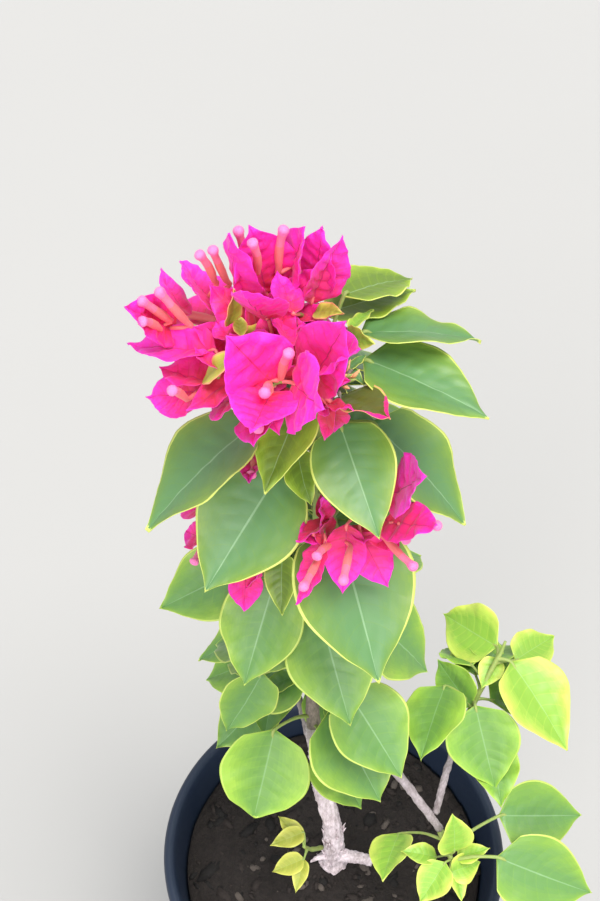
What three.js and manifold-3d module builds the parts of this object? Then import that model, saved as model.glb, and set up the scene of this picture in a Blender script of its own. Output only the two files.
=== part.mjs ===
// Compact yellow-margined bougainvillea in its nursery pot. Millimetres, +Z up.
// The origin is the centre of the pot's underside. Plant heights count from the soil.
import * as THREE from "three";
import Module from "manifold-3d";

const POT_HEIGHT = 185;
const POT_FOOT_RADIUS = 66;
const POT_NECK_RADIUS = 87;
const POT_WALL = 2.2;
const POT_RIM_RADIUS = 95;
const POT_RIM_DEPTH = 24;
const POT_SIDES = 36;
const SOIL_LEVEL = 165;
const CLEAR = 0.3;
const GOLDEN = 0.618034;

const STEM_TOP = 156;
const LEADER_START = 156.5;
const STEM_RADIUS = 5;
const FLARE_RADIUS = 8.5;
const LEAF_THICK = 0.95;
const BRACT_THICK = 0.7;
const BRACT_STALK = 0.8;
const TUBE_RADIUS = 1.3;
const BUD_RADIUS = 2.2;
const FAN_BRACT = { turn: 64, out: 5, length: 28, width: 22 };
const FAN_TUBE = { turn: 20, rise: 40, out: 6, length: 16 };

// How many degrees a blade curls down along its midrib, and folds up at its sides.
const BEND = { leaf: { curl: 18, fold: 12 }, bract: { curl: -9, fold: 11 } };

// Shares of a blade's length at which its section is drawn.
const SMALL_BLADE = 24;
const STATIONS = { small: [0.2, 0.6], bract: [0.12, 0.42, 0.75], leaf: [0.08, 0.27, 0.52, 0.8] };

// Lines that the stems and shoots follow, as [x, y, height above the soil].
const LEADER = [[0, 0, 0], [-1, 0, 45], [-8, 1, 95], [-13, 3, 185], [-12, 5, 290], [-11, 6, 396]];
const STUB = [[-2, 0, 8], [8, -2, 10], [22, -4, 9]];
const BRANCH_RIGHT = [[-6.8, 1, 147], [8, -2, 141], [27, -5, 124], [43, -12, 99], [54, -18, 81]];
const BRANCH_RISING = [[51.7, -12.1, 88.7], [54, -6, 102], [58, 4, 116], [64, 16, 130]];
const BRANCH_BACK = [[-9.2, 6.6, 91], [-14, 24, 101], [-20, 42, 114]];
const SHOOT_RIGHT = [[64.4, 16.9, 131], [73, 28, 147], [81, 38, 160], [84, 42, 168]];
const SHOOT_LOW = [[54.4, -18.6, 80.2], [58, -26, 74], [60, -31, 71]];
const SHOOT_BACK = [[-20.2, 42.6, 114.3], [-25, 58, 128], [-28, 68, 150], [-28, 72, 166]];
const SHOOT_FOOT = [[-6.8, -2.6, 23], [-13, -8, 33], [-17, -12, 46]];
const HEAD = [
  [[-11.4, 5.4, 397.3], [-16, 2, 406], [-21, -2, 415]], [[-16, 2, 406], [-22, 8, 420], [-26, 13, 431]],
  [[-16, 2, 406], [-36, 3, 418], [-58, 8, 424]], [[-20, -1, 413], [-40, -10, 416], [-50, -14, 417]],
  [[-20, -1, 413], [-26, -15, 422], [-28, -27, 432]], [[-20, -1, 413], [-18, -15, 420], [-14, -23, 428]],
  [[-22, 8, 420], [-17, 10, 427], [-14, 11, 432]], [[-16, 2, 406], [-25, 16, 415], [-26, 24, 424]],
  [[-25, 16, 415], [-38, 21, 419], [-46, 24, 422]],
];
const TWIG_RIGHT = [
  [[-9.3, 2.2, 341], [-3, -8, 347], [3, -20, 352]], [[-3, -8, 347], [6, -12, 353], [13, -10, 360]],
  [[-3, -8, 347], [-7, -16, 348], [-11, -24, 350]],
];
const TWIG_LEFT = [
  [[-15.9, 3.5, 291], [-28, 0, 296], [-38, -5, 299]], [[-28, 0, 296], [-44, 4, 303], [-57, 5, 314]],
];
const TWIG_FRONT = [[[-15.6, 5, 341], [-24, 4, 350], [-34, 4, 361]]];
const TWIG_REAR = [[[-12.4, 9.2, 322], [-14, 20, 332], [-15, 30, 341]]];

// Leaves seen from the front: base x, y, height, heading, pitch, roll, length, width.
const LEADER_LEAVES = [
  [-4, 17, 429, 40, -20, -5, 35, 23], [-10, 20, 417, 25, -5, -5, 36, 25], [2, 8, 420, 5, -10, -20, 43, 28],
  [3, 1, 414, -25, -10, -5, 47, 33], [7, 4, 378, -30, -40, -5, 54, 36], [-5, -5, 388, -70, -25, 15, 44, 30],
  [-17, -3, 399, -115, -25, 15, 37, 24], [-34, -4, 388, -145, -30, 20, 56, 43],
  [-26, -4, 361, -130, -35, -20, 54, 41], [-20, -5, 372, -75, -20, 40, 21, 14],
  [-10, -7, 342, -80, -30, -40, 18, 9], [-39, 4, 289, -175, -35, -35, 49, 32],
  [-29, -5, 292, -115, -50, -10, 49, 35], [-26, -6, 311, -90, -40, 20, 25, 14],
  [-6, -10, 338, -70, -40, 0, 65, 48], [7, 1, 258, -5, -55, 20, 56, 38],
  [-11, -11, 277, -70, -40, 15, 50, 38], [-15, 4, 203, 165, -45, -30, 47, 33],
  [-36, -6, 218, -150, -60, -60, 40, 26], [-31, -11, 175, -110, -50, -15, 46, 44],
  [-5, -12, 196, -50, -45, 10, 52, 44], [2, -9, 209, -50, -35, 10, 48, 38],
  [-8, -10, 164, -50, -45, 0, 41, 33],
];
const RIGHT_LEAVES = [
  [68, 14, 153, -70, -45, 20, 44, 37], [81, 46, 157, 130, -20, -40, 40, 31],
  [81, 41, 154, -120, -15, -5, 18, 13], [91, 41, 152, 40, -15, 10, 31, 22],
  [87, 35, 160, -55, -25, -5, 51, 38], [67, 20, 142, 120, 5, -40, 30, 22],
  [54, 26, 152, -110, -5, 20, 42, 32], [78, 9, 124, -85, -5, 0, 34, 25],
];
const LOW_LEAVES = [
  [61, -29, 78, 105, 70, 5, 27, 20], [52, -30, 74, 175, 10, 0, 19, 12],
  [56, -34, 76, -130, -35, -5, 25, 19], [59, -37, 71, 25, -15, 35, 19, 16],
  [63, -30, 72, 10, 20, 0, 18, 11], [62, -35, 69, -80, -20, -15, 16, 9],
  [83, -32, 78, -10, -25, 40, 58, 42], [86, -10, 80, 10, -20, 30, 51, 37],
  [34, -13, 65, -110, 10, 30, 31, 25],
];
const FOOT_LEAVES = [
  [-17, -7, 53, -155, 5, -15, 20, 11], [-17, -17, 41, -165, -20, -15, 19, 12],
  [-17, -16, 38, -105, -20, 0, 18, 9], [-18, -10, 50, 140, 20, 0, 18, 10],
];

// Papery bracts, in the same terms as the leaves.
const TOP_BRACTS = [
  [-39, 9, 436, -155, 85, 10, 29, 23], [-30, 13, 433, 170, 80, -45, 30, 27],
  [-25, 18, 431, -10, 75, 30, 30, 24], [-14, 15, 432, 40, 85, 5, 28, 19], [-15, 8, 434, 30, 65, 90, 27, 19],
  [-21, -3, 440, 110, 15, 20, 17, 13], [-29, -7, 441, -125, 60, 20, 27, 21],
  [-22, -16, 438, 105, -5, 35, 26, 15], [-44, 7, 428, 125, 10, 30, 29, 23],
  [-58, 13, 423, 115, 5, 35, 24, 12], [-61, 7, 422, -145, 50, -45, 28, 20],
  [-47, -7, 427, 160, -15, 0, 34, 21], [-49, -13, 418, 150, -10, 0, 21, 17],
  [-50, -14, 416, 160, -30, -25, 27, 21], [-27, -27, 431, -170, 60, -65, 29, 28],
  [-28, -30, 432, -105, 15, 0, 25, 25], [-22, -29, 435, -70, 30, 65, 31, 28],
  [-39, -25, 423, 130, -45, -30, 22, 18], [-32, -30, 423, -95, 15, 25, 20, 16],
  [-16, -24, 429, -20, 70, 55, 34, 26], [-12, -20, 434, -50, 50, 25, 27, 19],
  [-18, -24, 426, 35, -50, 35, 20, 16], [-9, -22, 418, 75, -75, 10, 23, 14],
  [-17, 2, 430, 60, -20, -10, 16, 13],
];
const RIGHT_BRACTS = [
  [14, -22, 369, -60, 60, 55, 33, 25], [14, -4, 361, -60, -65, 10, 16, 10],
  [12, -23, 354, -45, 40, 20, 31, 19], [3, -27, 352, -50, -45, 20, 23, 17],
  [-2, -26, 356, -95, -50, -5, 26, 17], [-9, -24, 345, 160, 85, -10, 24, 12],
  [-11, -22, 349, -125, 30, -25, 17, 11], [-10, -30, 352, -125, -50, 20, 27, 13],
];
const LEFT_BRACTS = [
  [-58, 8, 320, 125, -40, -25, 22, 13], [-58, 2, 309, 120, -40, -45, 22, 14],
  [-40, -14, 312, -100, -68, -15, 21, 15], [-39, -13, 299, -35, 65, 10, 18, 11],
];
const FRONT_BRACTS = [
  [-36, 3, 366, -95, 5, 20, 19, 11], [-28, 1, 359, -140, -55, -5, 20, 12],
];

// Flower tubes: base x, y, height, heading, pitch, length.
const TOP_TUBES = [
  [-35, 13, 445, 160, 75, 17], [-33, 10, 447, -125, 80, 15], [-26, 15, 443, 45, 80, 17],
  [-48, 18, 435, -150, 70, 16], [-44, 19, 434, -155, 75, 17], [-57, 5, 428, 180, 60, 18],
  [-63, 6, 428, -155, 55, 17], [-66, 1, 429, -130, 50, 12], [-57, -20, 418, -120, 55, 12],
  [-28, -25, 433, 165, 50, 17], [-25, -27, 435, -40, 75, 15], [-29, -25, 430, -95, 35, 16],
  [-32, -36, 424, -90, 40, 12], [-12, -21, 431, -35, 70, 14],
];
const RIGHT_TUBES = [
  [-8, -30, 349, -120, 25, 12], [-12, -34, 347, -110, 15, 19], [-1, -34, 352, -100, 10, 18],
  [18, -27, 356, -30, 35, 18], [12, -29, 352, -55, 5, 18], [16, -26, 355, -70, 20, 10],
];
const LEFT_TUBES = [[-57, -2, 311, -110, 10, 12]];
const FRONT_TUBES = [[-36, -3, 366, -95, 5, 9]];

const wasm = await Module();
wasm.setup();
const { Manifold, Mesh } = wasm;

const radians = (degrees) => (degrees * Math.PI) / 180;
const vector = ([x, y, z]) => new THREE.Vector3(x, y, z);
const mix = (a, b, t) => a + (b - a) * t;

// A repeatable number from 0 to 1 for place k in a rule.
function chance(k, salt) {
  const s = Math.sin(k * 12.9898 + salt * 78.233) * 43758.5453;
  return s - Math.floor(s);
}

function heading(azimuth, pitch) {
  const a = radians(azimuth), p = radians(pitch);
  return new THREE.Vector3(Math.cos(a) * Math.cos(p), Math.sin(a) * Math.cos(p), Math.sin(p));
}

// Directions along a blade, across it and out of its upper face.
function bladeFrame(azimuth, pitch, roll) {
  const along = heading(azimuth, pitch);
  const level = new THREE.Vector3(-Math.sin(radians(azimuth)), Math.cos(radians(azimuth)), 0);
  const up = along.clone().cross(level);
  const c = Math.cos(radians(roll)), s = Math.sin(radians(roll));
  const across = level.clone().multiplyScalar(c).addScaledVector(up, s);
  const face = up.multiplyScalar(c).addScaledVector(level, -s);
  return { along, across, face };
}

// Half width of a blade at t from its base to its tip, as a share of the widest.
function outline(t, kind, ratio) {
  if (kind === "bract") return (Math.sqrt(t) * (1 - t) ** (0.62 + 0.3 * t)) / 0.47;
  if (ratio > 0.9) return (t ** 0.45 * (1 - t) ** (0.55 + 0.1 * t)) / 0.505;
  return (t ** 0.45 * (1 - t) ** (0.75 + 0.25 * t)) / 0.4346;
}

// Point on the curled midrib at t.
function ribPoint(row, t, kind) {
  const { along, face } = bladeFrame(row[3], row[4], row[5]);
  const c = radians(BEND[kind].curl), chord = 2 * Math.sin(c / 2);
  const a = c / 2 - c * t;
  const forward = (Math.sin(c / 2) - Math.sin(a)) / chord;
  const lift = (Math.cos(a) - Math.cos(c / 2)) / chord;
  return vector(row).addScaledVector(along, forward * row[6]).addScaledVector(face, lift * row[6]);
}

function solid(points, faces) {
  const mesh = new Mesh({
    numProp: 3,
    vertProperties: new Float32Array(points.flatMap((p) => [p.x, p.y, p.z])),
    triVerts: new Uint32Array(faces.flat()),
  });
  return new Manifold(mesh);
}

// A stalk that runs on into a blade with a lens section, folded along its midrib.
function blade(root, row, kind, stalkRadius) {
  const [, , , azimuth, pitch, roll, length, width] = row;
  const { along, across, face } = bladeFrame(azimuth, pitch, roll);
  const stations = STATIONS[length < SMALL_BLADE ? "small" : kind];
  const thick = kind === "bract" ? BRACT_THICK : LEAF_THICK;
  const fold = radians(BEND[kind].fold);
  const c = Math.cos(fold), s = Math.sin(fold);
  const points = [];
  const ring = (centre, side, up, w, lift, half) => points.push(
    centre.clone().addScaledVector(side, -w).addScaledVector(up, lift),
    centre.clone().addScaledVector(up, -half),
    centre.clone().addScaledVector(side, w).addScaledVector(up, lift),
    centre.clone().addScaledVector(up, half));
  const base = vector(row);
  const run = base.clone().sub(root).normalize();
  const side = across.clone().addScaledVector(run, -across.dot(run)).normalize();
  ring(root, side, run.clone().cross(side), stalkRadius * 1.25, 0, stalkRadius * 1.25);
  const turn = run.clone().add(along).normalize();
  const level = across.clone().addScaledVector(turn, -across.dot(turn)).normalize();
  ring(base, level, turn.clone().cross(level), stalkRadius, 0, stalkRadius);
  for (const t of stations) {
    const w = (width / 2) * outline(t, kind, width / length);
    ring(ribPoint(row, t, kind), across, face, w * c, w * s, thick / 2);
  }
  points.push(ribPoint(row, 1, kind));
  const tip = points.length - 1;
  const faces = [[0, 2, 1], [0, 3, 2]];
  for (let a = 0; a < tip; a += 4) {
    for (let k = 0; k < 4; k++) {
      const next = (k + 1) % 4;
      if (a + 4 === tip) faces.push([a + k, a + next, tip]);
      else faces.push([a + k, a + next, a + 4 + next], [a + k, a + 4 + next, a + 4 + k]);
    }
  }
  return solid(points, faces);
}

// A closed round-ended limb along a line of points.
function limb(points, radii, sides) {
  const path = points.map((p) => (p.isVector3 ? p : vector(p)));
  const rings = [];
  let side = null;
  path.forEach((p, i) => {
    const before = path[Math.max(i - 1, 0)], after = path[Math.min(i + 1, path.length - 1)];
    const along = after.clone().sub(before).normalize();
    if (!side) side = Math.abs(along.z) > 0.9 ? new THREE.Vector3(1, 0, 0) : new THREE.Vector3(0, 0, 1);
    side = side.clone().addScaledVector(along, -side.dot(along)).normalize();
    const other = along.clone().cross(side);
    for (let k = 0; k < sides; k++) {
      const a = (2 * Math.PI * k) / sides;
      const [u, v] = [radii[i] * Math.cos(a), radii[i] * Math.sin(a)];
      rings.push(p.clone().addScaledVector(side, u).addScaledVector(other, v));
    }
  });
  const faces = [];
  for (let i = 0; i + 1 < path.length; i++) {
    for (let k = 0; k < sides; k++) {
      const a = i * sides + k, b = i * sides + ((k + 1) % sides);
      faces.push([a, b, b + sides], [a, b + sides, a + sides]);
    }
  }
  const last = (path.length - 1) * sides;
  for (let k = 1; k + 1 < sides; k++) faces.push([0, k + 1, k], [last, last + k, last + k + 1]);
  return solid(rings, faces);
}

// The point nearest to a place on any of several lines.
function nearestOn(paths, place) {
  let best = null;
  for (const path of paths) {
    for (let i = 0; i + 1 < path.length; i++) {
      const a = vector(path[i]), step = vector(path[i + 1]).sub(a);
      const t = THREE.MathUtils.clamp(place.clone().sub(a).dot(step) / step.lengthSq(), 0.02, 0.94);
      const near = a.addScaledVector(step, t);
      if (!best || near.distanceTo(place) < best.distanceTo(place)) best = near;
    }
  }
  return best;
}

// Where the stalk of a blade or flower leaves its shoot, a little below it.
function rootOf(paths, row) {
  const base = vector(row);
  const reach = nearestOn(paths, base).distanceTo(base);
  return nearestOn(paths, base.clone().add(new THREE.Vector3(0, 0, -0.45 * reach)));
}

// A flower tube is rooted in the midrib of the bract nearest to it.
function rootOnBract(bracts, row) {
  const base = vector(row);
  let best = null;
  for (const bract of bracts) {
    for (const t of [0.12, 0.25, 0.38, 0.5]) {
      const near = ribPoint(bract, t, "bract");
      if (!best || near.distanceTo(base) < best.distanceTo(base)) best = near;
    }
  }
  return best;
}

function flower(root, row) {
  const along = heading(row[3], row[4]), base = vector(row);
  const stations = [[0, 0.8], [0.76, 0.95], [0.9, BUD_RADIUS / TUBE_RADIUS], [1, 0.7]];
  const points = stations.map(([t]) => base.clone().addScaledVector(along, t * row[5]));
  return limb([root, ...points], [0.6, ...stations.map(([, r]) => r)].map((r) => r * TUBE_RADIUS), 4);
}

function fuse(parts) {
  const bodies = Manifold.union(parts).decompose();
  return bodies.reduce((a, b) => (b.volume() > a.volume() ? b : a));
}

function shoot(path, radii, leaves) {
  return fuse([limb(path, radii, 5),
    ...leaves.map((row) => blade(rootOf([path], row), row, "leaf", 0.5 + row[6] / 90))]);
}

function bloom(paths, radius, bracts, tubes) {
  return fuse([...paths.map((path) => limb(path, path.map((_, i) => radius * (1 - 0.15 * i)), 4)),
    ...bracts.map((row) => blade(rootOf(paths, row), row, "bract", BRACT_STALK)),
    ...tubes.map((row) => flower(rootOnBract(bracts, row), row))]);
}

// Balls that the leaves of other shoots keep out of, as [x, y, height, radius].
const KEPT_FREE = [[-29, 12, 424, 42], [-11, 37, 338, 27], [-48, 4, 309, 18], [60, 20, 150, 26],
  [-26, 66, 148, 30]];

// Leaves round the hidden side of a shoot: they turn by the golden ratio of a sector.
// A leaf that would reach into a ball kept free for another shoot is skipped.
function backLeaves({ path, count, low, high, from, sector, reach, size, free = [] }) {
  const rows = [];
  for (let k = 0; k < count; k++) {
    const t = (k + 0.5) / count;
    const azimuth = from + ((k * GOLDEN) % 1) * sector;
    const height = mix(low, high, t);
    const axis = nearestOn([path], new THREE.Vector3(path[0][0], path[0][1], height));
    const away = reach * mix(0.8, 1.2, chance(k, 1));
    const length = mix(size, size * 0.76, t) * mix(0.9, 1.08, chance(k, 2));
    const base = axis.addScaledVector(heading(azimuth, 20), away);
    const row = [base.x, base.y, base.z, azimuth + mix(-12, 12, chance(k, 3)), mix(-42, -14, chance(k, 4)),
      mix(-14, 14, chance(k, 5)), length, length * mix(0.66, 0.8, chance(k, 6))];
    const clear = free.every(([x, y, z, r]) =>
      [0, 0.3, 0.6, 1].every((at) => ribPoint(row, at, "leaf").distanceTo(new THREE.Vector3(x, y, z)) > r));
    if (clear) rows.push(row);
  }
  return rows;
}

// Three bracts and a flower tube that fan out from one stalk.
function fan([x, y, h], azimuth, pitch) {
  const place = (turn, rise, out) => {
    const p = new THREE.Vector3(x, y, h).addScaledVector(heading(azimuth + turn, rise), out);
    return [p.x, p.y, p.z, azimuth + turn, rise];
  };
  const { turn: spread, out, length, width } = FAN_BRACT;
  const bracts = [-spread, 0, spread].map((turn) => [
    ...place(turn, pitch + (turn === 0 ? 20 : 0), out), turn / 3, length, width]);
  const tube = [...place(FAN_TUBE.turn, pitch + FAN_TUBE.rise, FAN_TUBE.out), FAN_TUBE.length];
  return { bracts, tubes: [tube] };
}

const lathe = (profile) => {
  const curve = profile.map(([r, z]) => new THREE.Vector2(r, z));
  const geometry = new THREE.LatheGeometry([...curve, curve[0].clone()], POT_SIDES);
  geometry.rotateX(Math.PI / 2);
  return geometry;
};

function potProfile() {
  const h = POT_HEIGHT, r = POT_RIM_RADIUS, neck = h - POT_RIM_DEPTH;
  return [[0, 0], [POT_FOOT_RADIUS - 2, 0], [POT_FOOT_RADIUS, 2], [POT_NECK_RADIUS, neck], [r - 1.5, neck],
    [r, neck + 3], [r + 1, h - 5], [r, h - 1.5], [r - 2.5, h], [r - 5.5, h - 1.5], [r - 7, h - 6],
    [POT_NECK_RADIUS - POT_WALL + 0.6, neck], [POT_FOOT_RADIUS - POT_WALL, POT_WALL + 1],
    [POT_FOOT_RADIUS - POT_WALL - 1, POT_WALL], [0, POT_WALL]];
}

function soilProfile() {
  const inner = (z) => mix(POT_FOOT_RADIUS, POT_NECK_RADIUS, (z - 2) / (POT_HEIGHT - POT_RIM_DEPTH - 2))
    - POT_WALL - CLEAR - 0.2;
  return [[0, POT_WALL + CLEAR], [inner(6) - 2, POT_WALL + CLEAR], [inner(6), 6], [inner(160), 160],
    [inner(160) - 4, SOIL_LEVEL - 2], [30, SOIL_LEVEL - 0.5], [12, SOIL_LEVEL], [0, SOIL_LEVEL]];
}

const MATERIALS = {
  leaf: new THREE.MeshStandardMaterial({ color: 0x6fae4f, roughness: 0.45 }),
  young_leaf: new THREE.MeshStandardMaterial({ color: 0xa8cf52, roughness: 0.45 }),
  bract: new THREE.MeshStandardMaterial({ color: 0xf01fae, roughness: 0.6 }),
  bark: new THREE.MeshStandardMaterial({ color: 0x9a8a80, roughness: 0.85 }),
  pot: new THREE.MeshStandardMaterial({ color: 0x1d2a3f, roughness: 0.5 }),
  soil: new THREE.MeshStandardMaterial({ color: 0x4a3427, roughness: 1 }),
};

const group = new THREE.Group();
group.name = "potted_bougainvillea";

function add(name, geometry, material) {
  for (const extra of ["normal", "uv"]) geometry.deleteAttribute(extra);
  const mesh = new THREE.Mesh(geometry, MATERIALS[material]);
  mesh.name = name;
  group.add(mesh);
}

function addPlant(name, body, material) {
  const { vertProperties, triVerts } = body.translate([0, 0, SOIL_LEVEL]).getMesh();
  const geometry = new THREE.BufferGeometry();
  geometry.setAttribute("position", new THREE.BufferAttribute(new Float32Array(vertProperties), 3));
  geometry.setIndex([...triVerts]);
  add(name, geometry, material);
}

const STEM_END = [-12.4, 2.2, STEM_TOP];
const stemPath = [[0, 0, CLEAR], [0, 0, 7], ...LEADER.slice(1, 3), STEM_END];
const stem = limb(stemPath, [FLARE_RADIUS, STEM_RADIUS + 0.8, STEM_RADIUS, 4.4, 3.6], 9);
const leaderPath = [[...STEM_END.slice(0, 2), LEADER_START], ...LEADER.slice(3)];
const rearFans = [fan([-25, 20, 417], 92, -35), fan([-44, 18, 415], 140, -40), fan([-34, 20, 404], 115, -50)];
const backFan = fan([-15, 30, 341], 90, 15);
const backFanLow = fan([-14, 28, 336], 60, -40);

add("pot", lathe(potProfile()), "pot");
add("soil", lathe(soilProfile()), "soil");
addPlant("stem_main", fuse([stem, limb(STUB, [4, 3.6, 3], 6)]), "bark");
addPlant("branch_right", limb(BRANCH_RIGHT, [2.6, 2.5, 2.4, 2.2, 2], 6), "bark");
addPlant("branch_rising", limb(BRANCH_RISING, [1.9, 1.9, 1.8, 1.6], 6), "bark");
addPlant("branch_back", limb(BRANCH_BACK, [2.2, 2, 1.8], 6), "bark");
addPlant("leaves_leader", shoot(leaderPath, [3.5, 3.2, 2.6, 1.8], [...LEADER_LEAVES, ...backLeaves({
  path: leaderPath, count: 46, low: 168, high: 392, from: 30, sector: 120, reach: 18, size: 54,
  free: KEPT_FREE,
})]), "leaf");
addPlant("leaves_right", shoot(SHOOT_RIGHT, [1.6, 1.4, 1.1, 0.7], [...RIGHT_LEAVES, ...backLeaves({
  path: SHOOT_RIGHT, count: 5, low: 138, high: 164, from: 20, sector: 100, reach: 14, size: 42,
})]), "young_leaf");
addPlant("leaves_low", shoot(SHOOT_LOW, [1.9, 1.7, 1.2], LOW_LEAVES), "young_leaf");
addPlant("leaves_back", shoot(SHOOT_BACK, [1.7, 1.5, 1.2, 0.7], backLeaves({
  path: SHOOT_BACK, count: 12, low: 120, high: 164, from: 0, sector: 360, reach: 15, size: 46,
})), "young_leaf");
addPlant("leaves_foot", shoot(SHOOT_FOOT, [1.4, 1.2, 0.8], FOOT_LEAVES), "young_leaf");
addPlant("bloom_top", bloom(HEAD, 1.6, [...TOP_BRACTS, ...rearFans.flatMap((f) => f.bracts)],
  [...TOP_TUBES, ...rearFans.flatMap((f) => f.tubes)]), "bract");
addPlant("bloom_right", bloom(TWIG_RIGHT, 1.2, RIGHT_BRACTS, RIGHT_TUBES), "bract");
addPlant("bloom_left", bloom(TWIG_LEFT, 1.2, LEFT_BRACTS, LEFT_TUBES), "bract");
addPlant("bloom_front", bloom(TWIG_FRONT, 1.1, FRONT_BRACTS, FRONT_TUBES), "bract");
addPlant("bloom_rear", bloom(TWIG_REAR, 1.2, [...backFan.bracts, ...backFanLow.bracts],
  backFan.tubes), "bract");

export default group;
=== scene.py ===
"""A compact potted bougainvillea: its leaves, bracts, bark, soil and pot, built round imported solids."""
import math

import bpy
import numpy as np
from bpy.props import FloatProperty, FloatVectorProperty, IntProperty, PointerProperty
from mathutils import Matrix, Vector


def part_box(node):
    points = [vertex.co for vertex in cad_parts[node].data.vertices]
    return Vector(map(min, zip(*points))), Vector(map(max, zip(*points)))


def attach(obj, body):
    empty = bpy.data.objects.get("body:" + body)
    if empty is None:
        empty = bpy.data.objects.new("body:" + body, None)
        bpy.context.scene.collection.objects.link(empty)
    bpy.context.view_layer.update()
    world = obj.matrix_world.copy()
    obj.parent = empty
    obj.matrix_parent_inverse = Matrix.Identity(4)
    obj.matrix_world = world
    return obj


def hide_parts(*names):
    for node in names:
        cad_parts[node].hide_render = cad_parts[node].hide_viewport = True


bl_info = {
    "name": "Potted bougainvillea",
    "version": (1, 0, 0),
    "blender": (4, 5, 0),
    "location": "3D View > Sidebar > Plant",
    "description": "Builds the leaves, blooms, stems, soil and pot of a compact bougainvillea",
    "category": "Object",
}

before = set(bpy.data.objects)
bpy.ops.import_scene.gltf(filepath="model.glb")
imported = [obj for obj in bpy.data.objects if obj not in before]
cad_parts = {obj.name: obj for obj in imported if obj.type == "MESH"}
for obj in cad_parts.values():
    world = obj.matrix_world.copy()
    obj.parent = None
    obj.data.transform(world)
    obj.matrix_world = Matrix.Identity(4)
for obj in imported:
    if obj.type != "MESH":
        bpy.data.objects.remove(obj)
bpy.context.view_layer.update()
POT_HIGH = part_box("pot")[1]
SOIL_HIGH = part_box("soil")[1]
SOIL_TOP = SOIL_HIGH.z

MM = 0.001
BODY = "root"

# The golden ratio and angle, and a full turn in radians as the shapes were set with it.
GOLDEN = 0.618034
GOLDEN_ANGLE = 137.5
TURN = 6.283

# Lines that the stems and shoots follow, in mm: x, y, height above the soil.
LEADER = [[0, 0, 0], [-1, 0, 45], [-8, 1, 95], [-13, 3, 185], [-12, 5, 290], [-11, 6, 396]]
STEM_END = [-12.4, 2.2, 156]
STUB = [[-2, 0, 8], [8, -2, 10], [22, -4, 9]]
BRANCH_RIGHT = [[-6.8, 1, 147], [8, -2, 141], [27, -5, 124], [43, -12, 99], [54, -18, 81]]
BRANCH_RISING = [[51.7, -12.1, 88.7], [54, -6, 102], [58, 4, 116], [64, 16, 130]]
BRANCH_BACK = [[-9.2, 6.6, 91], [-14, 24, 101], [-20, 42, 114]]
SHOOT_RIGHT = [[64.4, 16.9, 131], [73, 28, 147], [81, 38, 160], [84, 42, 168]]
SHOOT_LOW = [[54.4, -18.6, 80.2], [58, -26, 74], [60, -31, 71]]
SHOOT_BACK = [[-20.2, 42.6, 114.3], [-25, 58, 128], [-28, 68, 150], [-28, 72, 166]]
SHOOT_FOOT = [[-6.8, -2.6, 23], [-13, -8, 33], [-17, -12, 46]]
HEAD = [
    [[-11.4, 5.4, 397.3], [-16, 2, 406], [-21, -2, 415]],
    [[-16, 2, 406], [-22, 8, 420], [-26, 13, 431]], [[-16, 2, 406], [-36, 3, 418], [-58, 8, 424]],
    [[-20, -1, 413], [-40, -10, 416], [-50, -14, 417]],
    [[-20, -1, 413], [-26, -15, 422], [-28, -27, 432]],
    [[-20, -1, 413], [-18, -15, 420], [-14, -23, 428]],
    [[-22, 8, 420], [-17, 10, 427], [-14, 11, 432]],
    [[-16, 2, 406], [-25, 16, 415], [-26, 24, 424]],
    [[-25, 16, 415], [-38, 21, 419], [-46, 24, 422]],
]
TWIG_RIGHT = [
    [[-9.3, 2.2, 341], [-3, -8, 347], [3, -20, 352]],
    [[-3, -8, 347], [6, -12, 353], [13, -10, 360]],
    [[-3, -8, 347], [-7, -16, 348], [-11, -24, 350]],
]
TWIG_LEFT = [
    [[-15.9, 3.5, 291], [-28, 0, 296], [-38, -5, 299]],
    [[-28, 0, 296], [-44, 4, 303], [-57, 5, 314]],
]
TWIG_FRONT = [[[-15.6, 5, 341], [-24, 4, 350], [-34, 4, 361]]]
TWIG_REAR = [[[-12.4, 9.2, 322], [-14, 20, 332], [-15, 30, 341]]]

# Leaves seen from the front: base x, y, height, heading, pitch, roll, length, width, in mm and degrees.
LEADER_LEAVES = [
    [-4, 17, 429, 40, -20, -5, 35, 23], [-10, 20, 417, 25, -5, -5, 36, 25],
    [2, 8, 420, 5, -10, -20, 43, 28], [3, 1, 414, -25, -10, -5, 47, 33],
    [7, 4, 378, -30, -40, -5, 54, 36], [-5, -5, 388, -70, -25, 15, 44, 30],
    [-17, -3, 399, -115, -25, 15, 37, 24], [-34, -4, 388, -145, -30, 20, 56, 43],
    [-26, -4, 361, -130, -35, -20, 54, 41], [-20, -5, 372, -75, -20, 40, 21, 14],
    [-10, -7, 342, -80, -30, -40, 18, 9], [-39, 4, 289, -175, -35, -35, 49, 32],
    [-29, -5, 292, -115, -50, -10, 49, 35], [-26, -6, 311, -90, -40, 20, 25, 14],
    [-6, -10, 338, -70, -40, 0, 65, 48], [7, 1, 258, -5, -55, 20, 56, 38],
    [-11, -11, 277, -70, -40, 15, 50, 38], [-15, 4, 203, 165, -45, -30, 47, 33],
    [-36, -6, 218, -150, -60, -60, 40, 26], [-31, -11, 175, -110, -50, -15, 46, 44],
    [-5, -12, 196, -50, -45, 10, 52, 44], [2, -9, 209, -50, -35, 10, 48, 38],
    [-8, -10, 164, -50, -45, 0, 41, 33],
]
FRESH_LEAVES = [LEADER_LEAVES[k] for k in (0, 1, 6, 9, 10, 13)]
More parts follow.
